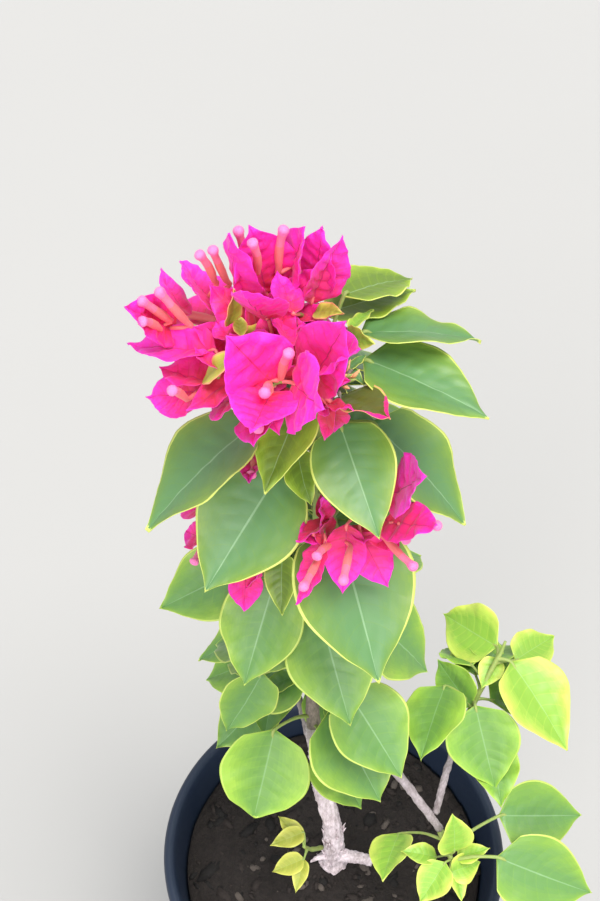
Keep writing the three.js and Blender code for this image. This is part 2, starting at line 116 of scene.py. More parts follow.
RIGHT_LEAVES = [
    [68, 14, 153, -70, -45, 20, 44, 37], [81, 46, 157, 130, -20, -40, 40, 31],
    [81, 41, 154, -120, -15, -5, 18, 13], [91, 41, 152, 40, -15, 10, 31, 22],
    [87, 35, 160, -55, -25, -5, 51, 38], [67, 20, 142, 120, 5, -40, 30, 22],
    [54, 26, 152, -110, -5, 20, 42, 32], [78, 9, 124, -85, -5, 0, 34, 25],
]
LOW_LEAVES = [
    [61, -29, 78, 105, 70, 5, 27, 20], [52, -30, 74, 175, 10, 0, 19, 12],
    [56, -34, 76, -130, -35, -5, 25, 19], [59, -37, 71, 25, -15, 35, 19, 16],
    [63, -30, 72, 10, 20, 0, 18, 11], [62, -35, 69, -80, -20, -15, 16, 9],
    [83, -32, 78, -10, -25, 40, 58, 42], [86, -10, 80, 10, -20, 30, 51, 37],
    [34, -13, 65, -110, 10, 30, 31, 25],
]
FOOT_LEAVES = [
    [-17, -7, 53, -155, 5, -15, 20, 11], [-17, -17, 41, -165, -20, -15, 19, 12],
    [-17, -16, 38, -105, -20, 0, 18, 9], [-18, -10, 50, 140, 20, 0, 18, 10],
]

# Papery bracts, in the same terms as the leaves.
TOP_BRACTS = [
    [-39, 9, 436, -155, 85, 10, 29, 23], [-30, 13, 433, 170, 80, -45, 30, 27],
    [-25, 18, 431, -10, 75, 30, 30, 24], [-14, 15, 432, 40, 85, 5, 28, 19],
    [-15, 8, 434, 30, 65, 90, 27, 19], [-21, -3, 440, 110, 15, 20, 17, 13],
    [-29, -7, 441, -125, 60, 20, 27, 21], [-22, -16, 438, 105, -5, 35, 26, 15],
    [-44, 7, 428, 125, 10, 30, 29, 23], [-58, 13, 423, 115, 5, 35, 24, 12],
    [-61, 7, 422, -145, 50, -45, 28, 20], [-47, -7, 427, 160, -15, 0, 34, 21],
    [-49, -13, 418, 150, -10, 0, 21, 17], [-50, -14, 416, 160, -30, -25, 27, 21],
    [-27, -27, 431, -170, 60, -65, 29, 28], [-28, -30, 432, -105, 15, 0, 25, 25],
    [-22, -29, 435, -70, 30, 65, 31, 28], [-39, -25, 423, 130, -45, -30, 22, 18],
    [-32, -30, 423, -95, 15, 25, 20, 16], [-16, -24, 429, -20, 70, 55, 34, 26],
    [-12, -20, 434, -50, 50, 25, 27, 19], [-17, 2, 430, 60, -20, -10, 16, 13],
]
RIGHT_BRACTS = [
    [14, -22, 369, -60, 60, 55, 33, 25], [14, -4, 361, -60, -65, 10, 16, 10],
    [12, -23, 354, -45, 40, 20, 31, 19], [3, -27, 352, -50, -45, 20, 23, 17],
    [-2, -26, 356, -95, -50, -5, 26, 17], [-9, -24, 345, 160, 85, -10, 24, 12],
    [-11, -22, 349, -125, 30, -25, 17, 11], [-10, -30, 352, -125, -50, 20, 27, 13],
]
LEFT_BRACTS = [
    [-58, 8, 320, 125, -40, -25, 22, 13], [-58, 2, 309, 120, -40, -45, 22, 14],
    [-40, -14, 312, -100, -68, -15, 21, 15], [-39, -13, 299, -35, 65, 10, 18, 11],
]
FRONT_BRACTS = [[-36, 3, 366, -95, 5, 20, 19, 11], [-28, 1, 359, -140, -55, -5, 20, 12]]

# Small bracts deep in the clusters, and young leaves among the bracts of the head.
TOP_INNER = [
    [-41, -8, 433, 120, -10, -10, 12, 10], [-45, -17, 428, 130, -5, 20, 14, 9],
    [-20, 0, 433, 55, -20, -5, 20, 16], [-19, -20, 426, 20, -50, 25, 20, 16],
    [-9, -20, 416, -135, -80, 0, 18, 9], [-10, -22, 417, -50, 35, -5, 15, 6],
    [-30, -12, 430, 60, 35, 10, 20, 15], [-36, 2, 428, 150, 40, -20, 20, 14],
    [-22, -10, 426, 0, 10, 20, 18, 13], [-40, -16, 424, -150, -20, 10, 20, 14],
    [-24, 8, 430, 20, 55, 0, 20, 14], [-33, -20, 424, -60, -35, 0, 18, 12],
    [-18, -24, 426, 35, -50, 35, 20, 16], [-9, -22, 418, 75, -75, 10, 23, 14],
]
RIGHT_INNER = [
    [-10, -19, 349, 95, -10, 5, 14, 6], [-9, -21, 353, -125, 20, 25, 21, 9],
    [-14, -30, 356, 10, -55, 15, 21, 7], [3, -20, 348, -85, 25, -5, 14, 13],
    [6, -20, 352, -50, -10, 20, 18, 12],
]
TOP_YOUNG = [
    [-42, -5, 437, 136, 100, 0, 18, 8], [-38, -9, 436, 100, 15, 0, 8, 5],
    [-36, -10, 436, 65, -25, -10, 16, 8], [-41, -19, 435, 155, -55, -20, 21, 11],
    [-14, 5, 433, -50, 35, 30, 17, 7], [-2, 5, 425, 55, -10, -20, 15, 6],
    [-3, 0, 428, -55, 25, 80, 16, 8], [-2, -5, 416, 55, -10, -15, 10, 4],
    [-3, -2, 414, -55, -5, -5, 10, 4], [-6, -5, 412, -75, 15, 65, 11, 7],
]
FOLDED_LEAF = [-5, -11, 409, -60, 30, 0, 34, 17]

# Flower tubes: base x, y, height, heading, pitch, length.
TOP_TUBES = [
    [-35, 13, 445, 160, 75, 17], [-33, 10, 447, -125, 80, 15], [-26, 15, 443, 45, 80, 17],
    [-48, 18, 435, -150, 70, 16], [-44, 19, 434, -155, 75, 17], [-57, 5, 428, 180, 60, 18],
    [-63, 6, 428, -155, 55, 17], [-66, 1, 429, -130, 50, 12], [-57, -20, 418, -120, 55, 12],
    [-28, -25, 433, 165, 50, 17], [-25, -27, 435, -40, 75, 15], [-29, -25, 430, -95, 35, 16],
    [-32, -36, 424, -90, 40, 12], [-12, -21, 431, -35, 70, 14],
]
RIGHT_TUBES = [
    [-8, -30, 349, -120, 25, 12], [-12, -34, 347, -110, 15, 19], [-1, -34, 352, -100, 10, 18],
    [18, -27, 356, -30, 35, 18], [12, -29, 352, -55, 5, 18], [16, -26, 355, -70, 20, 10],
]
LEFT_TUBES = [[-57, -2, 311, -110, 10, 12]]
FRONT_TUBES = [[-36, -3, 366, -95, 5, 9]]

# Balls that the leaves of other shoots keep out of: x, y, height, radius.
KEPT_FREE = [
    [-29, 12, 424, 42], [-11, 37, 338, 27], [-48, 4, 309, 18], [60, 20, 150, 26],
    [-26, 66, 148, 30],
]

# How a blade of each kind bends, and how fine its mesh is. Curl and fold are in degrees, and folds is
# the range that a blade's own fold varies in. Wave at the margin, quilting between the veins and
# crinkle are in mm. Across gives the columns of the mesh as shares of the half width. A blade shorter
# than SMALL_BLADE gets a coarser mesh. VEIN is half the width of a vein, in mm.
BLADES = {
    "leaf": {
        "curl": 18, "fold": 12, "folds": (0.7, 1.4), "veins": 7, "sweep": 0.2,
        "wave": 0.9, "quilt": 0.2, "crinkle": 0.16,
        "across": [
            0.018, 0.06, 0.15, 0.25, 0.34, 0.42, 0.5, 0.57, 0.64, 0.7, 0.76, 0.81, 0.86, 0.905, 0.95, 1,
        ],
    },
    "bract": {
        "curl": -9, "fold": 11, "folds": (0.7, 2.4), "veins": 6, "sweep": 0.16,
        "wave": 0.85, "quilt": 0.38, "crinkle": 0.55,
        "across": [0.02, 0.08, 0.2, 0.36, 0.52, 0.68, 0.82, 0.93, 1],
    },
}
SMALL_BLADE = 24
VEIN = 0.3

# The colours that a leaf of each age takes: a step along the stages from old to fresh.
AGES = {"old": 0, "middle": 0.5, "young": 1, "lime": 2, "bud": 3, "sprig": 3, "fresh": 4}

# Where the pale band of a leaf begins and where it is full, as shares of its half width.
BANDS = {
    "old": (0.2, 0.98), "middle": (0.2, 0.97), "young": (0.25, 0.96), "lime": (0.3, 0.95),
    "bud": (0.2, 0.9), "sprig": (0.3, 0.95), "fresh": (0.3, 0.97),
}

# How many greens and pinks the faces of a blade are dealt, and where each next pink begins.
GREENS = 8
PINKS = 7
PINK_STEPS = [0.05, 0.2, 0.36, 0.52, 0.68, 0.86]
CHIP_SEED = 7

# Each light: where it shines from, the angle in degrees that its source fills, and its colour.
OVERHEAD = ((0.2, -0.16, 0.95), 34, (1.0, 0.98, 0.95))
FRONT = ((-0.2, -0.85, 0.4), 45, (1.0, 0.99, 0.97))
SKY_COLOUR = (0.93, 0.96, 1.0)
CAMERA_PLACE = (-0.019, -0.3207, 0.9141)
FLOOR_RADIUS = 30
FLOOR_SIDES = 96


def chance(k, salt):
    """A repeatable number from 0 to 1 for place k in a rule."""
    return (math.sin(k * 12.9898 + salt * 78.233) * 43758.5453) % 1


def mix(a, b, t):
    return a + (b - a) * t


def smooth(low, high, value):
    """0 below low, 1 above high, and a soft step between."""
    t = np.clip((value - low) / (high - low), 0, 1)
    return t * t * (3 - 2 * t)


def heading(azimuth, pitch):
    """The direction at an azimuth and a pitch above the horizon, in degrees."""
    a, p = math.radians(azimuth), math.radians(pitch)
    return np.array([math.cos(a) * math.cos(p), math.sin(a) * math.cos(p), math.sin(p)])


def unit(v):
    return v / np.linalg.norm(v)


def ripple(points, size, salt, waves=7):
    """Soft noise from -1 to 1 at each point: waves of about the given size, in many directions."""
    total = np.zeros(points.shape[:-1])
    for k in range(waves):
        axis = heading(360 * chance(k, salt), 180 * chance(k, salt + 1) - 90)
        pitch = size * mix(0.6, 1.5, chance(k, salt + 2))
        total += np.sin(points @ axis * (2 * math.pi / pitch) + TURN * chance(k, salt + 3))
    return total / math.sqrt(waves)


def smooth_path(points, steps):
    """A curve through the points, with that many steps between each two."""
    p = np.array(points, float)
    p = np.vstack([2 * p[0] - p[1], p, 2 * p[-1] - p[-2]])
    curve = []
    for i in range(1, len(p) - 2):
        a, b, c, d = p[i - 1:i + 3]
        for t in np.arange(steps) / steps:
            curve.append(b + (c - a) * t / 2 + (2 * a - 5 * b + 4 * c - d) * t**2 / 2
                         + (3 * b - a - 3 * c + d) * t**3 / 2)
    return np.array(curve + [p[-2]])


def spread(values, count):
    """Values spaced out evenly to the given count."""
    return np.interp(np.linspace(0, 1, count), np.linspace(0, 1, len(values)), values)


class Piece:
    """Points and faces of one joined mesh, in mm above the soil, each face with its finish's name."""

    def __init__(self):
        self.points, self.faces, self.finishes = [], [], []
        self.count = 0

    def add(self, points, faces, finishes):
        """Adds arrays of like faces; finishes has a name, or a name a face, for each array."""
        self.points.append(points)
        for some, finish in zip(faces, finishes):
            self.faces.append(some + self.count)
            if isinstance(finish, str):
                finish = np.full(len(some), finish, dtype=object)
            self.finishes.append(finish)
        self.count += len(points)

    def make(self, name, slot, node, materials):
        """Makes the object, which rides on the plant and stands for a solid."""
        mesh = bpy.data.meshes.new(name)
        points = np.concatenate(self.points) * MM + np.array([0, 0, SOIL_TOP])
        mesh.vertices.add(len(points))
        mesh.vertices.foreach_set("co", points.ravel())
        corners = np.concatenate([some.ravel() for some in self.faces])
        sizes = np.concatenate([np.full(len(some), some.shape[1]) for some in self.faces])
        mesh.loops.add(len(corners))
        mesh.loops.foreach_set("vertex_index", corners)
        mesh.polygons.add(len(sizes))
        mesh.polygons.foreach_set("loop_start", np.concatenate([[0], np.cumsum(sizes)[:-1]]))
        names = np.concatenate(self.finishes)
        used = [finish for finish in materials if finish in set(names)]
        for finish in used:
            mesh.materials.append(materials[finish])
        place = {finish: i for i, finish in enumerate(used)}
        mesh.polygons.foreach_set("material_index", [place[finish] for finish in names])
        mesh.polygons.foreach_set("use_smooth", np.ones(len(sizes), bool))
        mesh.update(calc_edges=True)
        if mesh.validate():
            raise RuntimeError(f"{name} has faces that can't be drawn")
        piece = bpy.data.objects.new(name, mesh)
        bpy.context.scene.collection.objects.link(piece)
        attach(piece, BODY)
        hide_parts(node)


def grid(rows, columns, start=0):
    """Four-cornered faces of a grid of points, seen from the side that row step x column step gives."""
    a = (np.arange(rows - 1)[:, None] * columns + np.arange(columns - 1)).ravel() + start
    return np.stack([a, a + columns, a + columns + 1, a + 1], 1)


def walls_round(rows, sides):
    """Four-cornered faces of rings of points, one after another."""
    a = (np.arange(rows - 1)[:, None] * sides + np.arange(sides)).ravel()
    b = (np.arange(rows - 1)[:, None] * sides + (np.arange(sides) + 1) % sides).ravel()
    return np.stack([a, b, b + sides, a + sides], 1)


def add_tube(piece, path, radii, sides, finish, relief=None):
    """A closed limb along a path.

    finish is a name, or gives the name at a share of the length. relief gives how far each point
    stands out.
    """
    path = np.asarray(path, float)
    radii = spread(radii, len(path))
    tangents = np.gradient(path, axis=0)
    side = None
    rings = []
    angles = np.linspace(0, 2 * math.pi, sides, endpoint=False)
    for centre, tangent, radius in zip(path, tangents, radii):
        along = unit(tangent)
        if side is None:
            side = np.array([1.0, 0, 0]) if abs(along[2]) > 0.9 else np.array([0, 0, 1.0])
        side = unit(side - along * side.dot(along))
        out = np.outer(np.cos(angles), side) + np.outer(np.sin(angles), np.cross(along, side))
        rings.append((centre, out, radius))
    points = np.array([centre + out * radius for centre, out, radius in rings])
    if relief is not None:
        outward = np.array([out for _, out, _ in rings])
        points = points + outward * relief(points)[..., None]
    count = len(path)
    points = points.reshape(-1, 3)
    caps = np.array([np.arange(sides)[::-1], np.arange(sides) + (count - 1) * sides])
    finishes = [finish, finish]
    if callable(finish):
        shares = np.repeat(np.arange(count - 1) / (count - 1), sides)
        finishes = [np.array([finish(share) for share in shares], object),
                    np.array([finish(0), finish(1)], object)]
    piece.add(points, [walls_round(count, sides), caps], finishes)


def blade_frame(azimuth, pitch, roll):
    """Directions along a blade, across it and out of its upper face."""
    along = heading(azimuth, pitch)
    level = np.array([-math.sin(math.radians(azimuth)), math.cos(math.radians(azimuth)), 0])
    up = np.cross(along, level)
    c, s = math.cos(math.radians(roll)), math.sin(math.radians(roll))
    return along, level * c + up * s, up * c - level * s


def outline(t, kind, ratio):
    """Half width of a blade at t from its base to its tip, as a share of the widest.

    The divisors bring the widest place to about 1. Broad leaves have a blunter tip.
    """
    t = np.clip(t, 0, 1)
    if kind == "bract":
        return np.sqrt(t) * (1 - t) ** (0.62 + 0.3 * t) / 0.47
    if ratio > 0.9:
        return t**0.45 * (1 - t) ** (0.55 + 0.1 * t) / 0.505
    return t**0.45 * (1 - t) ** (0.75 + 0.25 * t) / 0.4346


def rib_points(row, t, kind):
    """Points on the curled midrib at each t."""
    along, _, face = blade_frame(*row[3:6])
    curl = math.radians(BLADES[kind]["curl"])
    chord = 2 * math.sin(curl / 2)
    a = curl / 2 - curl * np.asarray(t, float)
    forward = (math.sin(curl / 2) - np.sin(a)) / chord
    lift = (np.cos(a) - math.cos(curl / 2)) / chord
    return np.array(row[:3], float) + row[6] * (forward[..., None] * along + lift[..., None] * face)


def add_blade(piece, row, kind, thickness, finish_of):
    """A thin closed blade with veins, a quilted face and a wavy margin."""
    style = BLADES[kind]
    length, width = row[6], row[7]
    small = length < SMALL_BLADE
    across = style["across"]
    if small and len(across) % 2 == 0:
        across = across[::2] + [1]
    s = np.array([-v for v in across[::-1]] + across)

    # Rows of the mesh: one at each side of a vein, two between veins, and closer ones at the tip.
    veins = style["veins"] - 2 * small
    at = 0.06 + 0.78 * np.arange(veins) / veins
    gap = at[1] - at[0]
    vein = VEIN / length
    stations = [*at - vein, *at + vein, *at + gap * 0.35, *at + gap * 0.68]
    u = np.sort(np.array([0, *stations, 0.87, 0.91, 0.945, 0.975, 1]))
    t = u[:, None] + style["sweep"] * np.abs(s) ** 1.3 * 4 * (u * (1 - u))[:, None]

    # The outline, and how far each point is lifted by the fold along the rib, the wave at each
    # margin, the quilting between the veins and the turn of the tip.
    seed = row[0] * 1.3 + row[1] * 0.7 + row[2] * 0.37
    along, side, face = blade_frame(*row[3:6])
    narrow = mix(0.8, 0.12, t)
    belly = (0.16 * smooth(0.2, 0.5, t) - 0.16 * smooth(0.5, 0.78, t)) * 0.3
    drawn_out = 1 - 0.3 * smooth(0.78, 0.97, t) + belly
    half = np.maximum(width / 2 * outline(t, kind, width / length) * drawn_out, narrow)
    fold = math.radians(style["fold"] * mix(*style["folds"], chance(seed, 11)))
    bowed = np.sqrt(s**2 + 0.02) - math.sqrt(0.02)
    lift = half * math.sin(fold) * bowed
    for turn in (-1, 1):
        phase = TURN * chance(seed, 12 + turn)
        count = mix(1.6, 3.2, chance(seed, 15 + turn))
        edge = np.where(s * turn > 0, np.abs(s) ** 2.4, 0)
        size = style["wave"] * min(length / 40, 1) * mix(0.5, 1.3, chance(seed, 18 + turn))
        lift += size * edge * np.sin(TURN * count * t + phase) * smooth(0, 0.2, t)
    beside = np.min(np.abs(u[:, None] - at[None, :]), 1)[:, None]
    quilt = style["quilt"] * smooth(vein, gap / 2, beside)
    quilt = quilt * (1 - np.abs(s) ** 3) * smooth(0.02, 0.12, np.abs(s))
    lift += quilt * smooth(0, 0.1, u)[:, None]
    lift -= 0.0016 * length * (t > 0.8) * (t - 0.8) * 12 * (2 * chance(seed, 21) - 0.6)
    sideways = s * half * math.cos(fold)
    points = rib_points(row, t, kind) + side * sideways[..., None] + face * lift[..., None]
    points = points + face * (style["crinkle"] * ripple(points, 5, 31 + seed % 7))[..., None]

    # The under face, with a keel along the rib, and a rim that closes the blade.
    if kind == "leaf":
        keel = 0.9 * (1 - t) * np.exp(-((s * half / 0.7) ** 2))
    else:
        keel = 0.25 * np.exp(-((s * half / 0.5) ** 2))
    below = points - face * (thickness * (1 - 0.5 * np.abs(s) ** 8) + keel)[..., None]
    rows, columns = points.shape[:2]
    upper = grid(rows, columns)
    lower = grid(rows, columns, rows * columns)[:, ::-1]
    loop = np.concatenate([
        np.arange(rows) * columns, (rows - 1) * columns + np.arange(1, columns),
        (np.arange(rows - 1)[::-1]) * columns + columns - 1, np.arange(1, columns - 1)[::-1],
    ])
    after = np.roll(loop, -1)
    rim = np.stack([after, loop, loop + rows * columns, after + rows * columns], 1)

    # The finish of each face, from its middle.
    mid_s = np.abs(s[:-1] + s[1:]) / 2
    mid_u = (u[:-1] + u[1:]) / 2
    mid_t = (t[:-1, :-1] + t[1:, 1:]) / 2
    on_vein = np.min(np.abs(mid_u[:, None] - at[None, :]), 1) < vein * 0.9
    spot = (points[:-1, :-1] + points[1:, 1:]) / 2
    veined = on_vein[:, None] & (mid_s < 0.8)
    top, under, edge = finish_of(row, mid_t, np.broadcast_to(mid_s, mid_t.shape), veined, spot)
    piece.add(np.concatenate([points.reshape(-1, 3), below.reshape(-1, 3)]), [upper, lower, rim],
              [top.ravel(), under.ravel(), edge])


def leaf_finishes(age):
    """Which green each face of a leaf takes: rib, blade, soft band and lime margin."""
    start, full = BANDS[age]

    def finish_of(row, t, s, on_vein, spot):
        seed = row[0] + row[2] * 0.61
        drift = 0.08 * ripple(spot, 45, 3) + 0.05 * ripple(spot, 9, 5) + 0.15 * smooth(0.8, 1, t)
        drift += mix(-0.06, 0.06, chance(seed, 40))
        step = np.clip((s + drift - start) / (full - start), 0, 1) ** 1.3
        zone = np.rint(step * (GREENS - 1)).astype(int)
        zone = np.where(on_vein & (zone < 3), zone + 1, zone)
        edge = (s > 1 - np.clip(1.1 / row[7], 0.04, 0.1)) | (t > 0.972)
        top = np.array([f"leaf_{age}_{k}" for k in range(GREENS)], object)[zone]
        top = np.where(edge, f"margin_{age}", top)
        top = np.where((s < 0.03) & (t < 0.93), f"rib_{age}", top)
        under = np.where(s < 0.03, f"rib_{age}", np.where(edge, f"margin_{age}", f"under_{age}"))
        return top, under, f"margin_{age}"
    return finish_of


def bract_finishes(warmth_of):
    """Which pink each face of a bract takes, coral at the base to magenta at the edge: partly the bract's
    own colour, partly painted shade at the base and painted light at the edge.
    """
    def finish_of(row, t, s, on_vein, spot):
        seed = row[0] + row[2] * 0.61
        step = t + s * 0.3 + 0.09 * ripple(spot, 16, 4)
        step = step - warmth_of(row) + mix(-0.08, 0.08, chance(seed, 41))
        zone = np.searchsorted(PINK_STEPS, step)
        zone = np.where(on_vein, np.maximum(zone - 1, 0), zone)
        top = np.array([f"bract_{k}" for k in range(PINKS)], object)[zone]
        top = np.where((s < 0.03) & (t < 0.8), "bract_rib", top)
        return top, top, f"bract_{PINKS - 1}"
    return finish_of


def nearest_on(paths, place):
    """The point nearest to a place on any of several lines."""
    best = None
    for path in paths:
        for a, b in zip(np.array(path[:-1], float), np.array(path[1:], float)):
            t = np.clip((place - a).dot(b - a) / (b - a).dot(b - a), 0.02, 0.94)
            near = a + (b - a) * t
            if best is None or np.linalg.norm(near - place) < np.linalg.norm(best - place):
                best = near
    return best


def root_of(paths, row):
    """Where the stalk of a blade leaves its shoot, a little below the blade's base."""
    base = np.array(row[:3], float)
    reach = np.linalg.norm(nearest_on(paths, base) - base)
    return nearest_on(paths, base - np.array([0, 0, 0.45 * reach]))


def root_on_bract(bracts, row):
    """A flower tube is rooted in the midrib of the bract nearest to it."""
    base = np.array(row[:3], float)
    places = np.concatenate([rib_points(bract, [0.12, 0.25, 0.38, 0.5], "bract") for bract in bracts])
    return places[np.argmin(np.linalg.norm(places - base, axis=1))]


def add_stalk(piece, root, row, radius, kind, finish):
    """A stalk that leaves its shoot, bows a little and runs on under the blade."""
    base = np.array(row[:3], float)
    along, _, face = blade_frame(*row[3:6])
    inside = rib_points(row, 0.09, kind) - face * 0.5
    reach = np.linalg.norm(base - root)
    bend = (root + base) / 2 + np.array([0, 0, 0.07 * reach]) - along * 0.05 * reach
    path = smooth_path([root, bend, base - face * 0.25, inside], 5)
    radii = [radius * share for share in (1.35, 1, 0.85, 0.95, 0.5)]
    add_tube(piece, path, radii, sides=8, finish=finish)


def add_flower(piece, root, row):
    """A slender tube that swells into a closed bud."""
    along = heading(row[3], row[4])
    base = np.array(row[:3], float)
    seed = row[0] + row[2]
    droop = unit(np.cross(along, heading(360 * chance(seed, 50), 0)) + 1e-6)
    t = np.array([0, 0.12, 0.25, 0.4, 0.55, 0.68, 0.76, 0.82, 0.87, 0.91, 0.95, 0.98, 1])
    radii = np.array([0.85, 1.0, 1.15, 1.18, 1.1, 1.05, 1.08, 1.22, 1.4, 1.5, 1.36, 0.95, 0.35]) * 1.3
    path = base + np.outer(t * row[5], along) + np.outer(0.8 * np.sin(3.14 * t), droop)
    foot = smooth_path([root, base - along * 0.35 * np.linalg.norm(base - root), base], 3)[:-1]
    path = np.vstack([foot, path])
    radii = np.concatenate([np.linspace(0.6, 1, len(foot)), radii])

    def finish(share):
        return "tube_0" if share < 0.55 else "tube_1" if share < 0.7 else "tube_2"

    add_tube(piece, path, radii, sides=12, finish=finish,
             relief=lambda points: 0.06 * ripple(points, size=2.2, salt=60))


def fan(place, azimuth, pitch):
    """Three bracts and a flower tube that fan out from one stalk."""
    def spot(turn, rise, out):
        point = np.array(place, float) + heading(azimuth + turn, rise) * out
        return [*point, azimuth + turn, rise]

    length, width, tube_length = 28, 22, 16
    bracts = []
    for turn, rise in ((-64, pitch), (0, pitch + 20), (64, pitch)):
        bracts.append([*spot(turn, rise, 5), turn / 3, length, width])
    return bracts, [[*spot(20, pitch + 40, 6), tube_length]]


def inner_bracts(place, count, reach, size):
    """Small bracts that fill the middle of a cluster, turned by the golden angle."""
    rows = []
    for k in range(count):
        azimuth, pitch = GOLDEN_ANGLE * k, mix(5, 75, (k + 0.5) / count)
        base = np.array(place, float) + heading(azimuth, pitch * 0.6) * reach
        length = size * mix(0.8, 1.15, chance(k, 7))
        turn, roll = mix(-25, 25, chance(k, 8)), mix(-35, 35, chance(k, 9))
        rows.append([*base, azimuth + turn, pitch, roll, length, length * 0.75])
    return rows


def back_leaves(path, count, low, high, start, sector, reach, size, free=()):
    """Leaves round the hidden side of a shoot, turned by the golden ratio of a sector.

    A leaf that would reach into a ball kept free for another shoot is skipped.
    """
    rows = []
    for k in range(count):
        t = (k + 0.5) / count
        azimuth = start + ((k * GOLDEN) % 1) * sector
        axis = nearest_on([path], np.array([path[0][0], path[0][1], mix(low, high, t)]))
        away = reach * mix(0.8, 1.2, chance(k, 1))
        length = mix(size, size * 0.76, t) * mix(0.9, 1.08, chance(k, 2))
        base = axis + heading(azimuth, 20) * away
        row = [*base, azimuth + mix(-12, 12, chance(k, 3)), mix(-42, -14, chance(k, 4)),
               mix(-14, 14, chance(k, 5)), length, length * mix(0.66, 0.8, chance(k, 6))]
        reached = rib_points(row, [0, 0.3, 0.6, 1], "leaf")
        if all(np.linalg.norm(reached - ball[:3], axis=1).min() > ball[3] for ball in free):
            rows.append(row)
    return rows


class Socket:
    """A shader socket; arithmetic on it adds Math nodes to its tree."""

    def __init__(self, finish, socket):
        self.finish, self.socket = finish, socket

    def math(self, operation, first, second):
        return self.finish.node("ShaderNodeMath", {"operation": operation}, {0: first, 1: second})

    def __add__(self, other):
        return self.math("ADD", self, other)

    def __sub__(self, other):
        return self.math("SUBTRACT", self, other)

    def __rsub__(self, other):
        return self.math("SUBTRACT", other, self)

    def __mul__(self, other):
        return self.math("MULTIPLY", self, other)

    def __pow__(self, other):
        return self.math("POWER", self, other)

    __radd__ = __add__
    __rmul__ = __mul__


class Finish:
    """A material: one Principled shader with its constants, and the nodes that feed it."""

    def __init__(self, name, **constants):
        self.material = bpy.data.materials.new(name)
        self.material.use_nodes = True
        self.tree = self.material.node_tree
        self.shader = self.tree.nodes["Principled BSDF"]
        for socket, value in constants.items():
            self.shader.inputs[socket.replace("_", " ")].default_value = value

    def node(self, kind, settings=None, inputs=None, output=0):
        """Adds a node: settings first, then the values or links of its sockets."""
        node = self.tree.nodes.new(kind)
        for key, value in (settings or {}).items():
            if key == "stops":
                ramp = node.color_ramp.elements
                elements = [ramp[0], ramp[1]] + [ramp.new(0.5) for _ in value[2:]]
                for element, (place, colour) in zip(elements, value):
                    element.position, element.color = place, (*colour, 1)
            else:
                setattr(node, key, value)
        for key, value in (inputs or {}).items():
            self.feed(node.inputs[key], value)
        return Socket(self, node.outputs[output])

    def feed(self, target, value):
        if isinstance(value, Socket):
            self.tree.links.new(value.socket, target)
        else:
            target.default_value = value

    def place(self):
        return self.node("ShaderNodeTexCoord", output="Object")

    def noise(self, scale, detail=3.0, roughness=0.5, at=None):
        """Soft clouds from 0 to 1; scale counts them per metre."""
        return self.node("ShaderNodeTexNoise", inputs={
            "Vector": at or self.place(), "Scale": scale, "Detail": detail, "Roughness": roughness,
        })

    def blend(self, factor, first, second):
        """A colour between two, by a factor."""
        return self.node("ShaderNodeMix", {"data_type": "RGBA"}, {
            "Factor": factor, 6: first, 7: second,
        }, output=2)

    def relief(self, height, distance, strength=1.0):
        """A bump of that depth in metres into the shader's normal."""
        bump = self.node("ShaderNodeBump", inputs={
            "Height": height, "Distance": distance, "Strength": strength,
        })
        self.feed(self.shader.inputs["Normal"], bump)

    def set(self, socket, value):
        self.feed(self.shader.inputs[socket], value)


def rgba(colour, shade=1.0):
    """A colour with its alpha, made darker or paler by shade."""
    return (*[min(max(c * shade, 0), 1) for c in colour[:3]], 1)


def between(a, b, t):
    """A colour between two others, with no alpha."""
    return [mix(x, y, t) for x, y in zip(a[:3], b[:3])]


def leaf_finish(name, colour, gloss, glow):
    """Waxy leaf surface: fine raised cells and a soft sheen over one green."""
    finish = Finish(name, Base_Color=rgba(colour), Subsurface_Weight=glow,
                    Subsurface_Radius=(0.5, 1.0, 0.2), Subsurface_Scale=0.0008,
                    Coat_Weight=0.08, Coat_Roughness=0.3)
    cells = finish.noise(2600, detail=2)
    clouds = finish.noise(240)
    finish.set("Roughness", gloss + 0.22 * clouds)
    finish.relief(cells * 0.35 + clouds * 0.65, distance=0.00018, strength=0.5)
    return finish.material


def bract_finish(name, colour, glow):
    """Thin papery bract: fine crumpled veins over one pink."""
    finish = Finish(name, Base_Color=rgba(colour), Subsurface_Weight=glow,
                    Subsurface_Radius=(1.0, 0.25, 0.5), Subsurface_Scale=0.0008,
                    Sheen_Weight=0.15, Sheen_Roughness=0.4)
    paper = finish.noise(1300, roughness=0.6)
    creases = finish.noise(330, detail=4, roughness=0.55)
    finish.set("Roughness", 0.5 + 0.25 * creases)
    finish.relief(paper * 0.3 + creases * 0.7, distance=0.0004, strength=0.8)
    return finish.material


def stalk_finish(name, colour, second):
    """Green wood: long streaks from one colour to another."""
    finish = Finish(name, Subsurface_Weight=0.1, Subsurface_Scale=0.001)
    streaks = finish.noise(420)
    finish.set("Base Color", finish.blend(streaks, rgba(colour), rgba(second)))
    finish.set("Roughness", 0.45 + 0.25 * streaks)
    finish.relief(streaks, distance=0.0003, strength=0.6)
    return finish.material


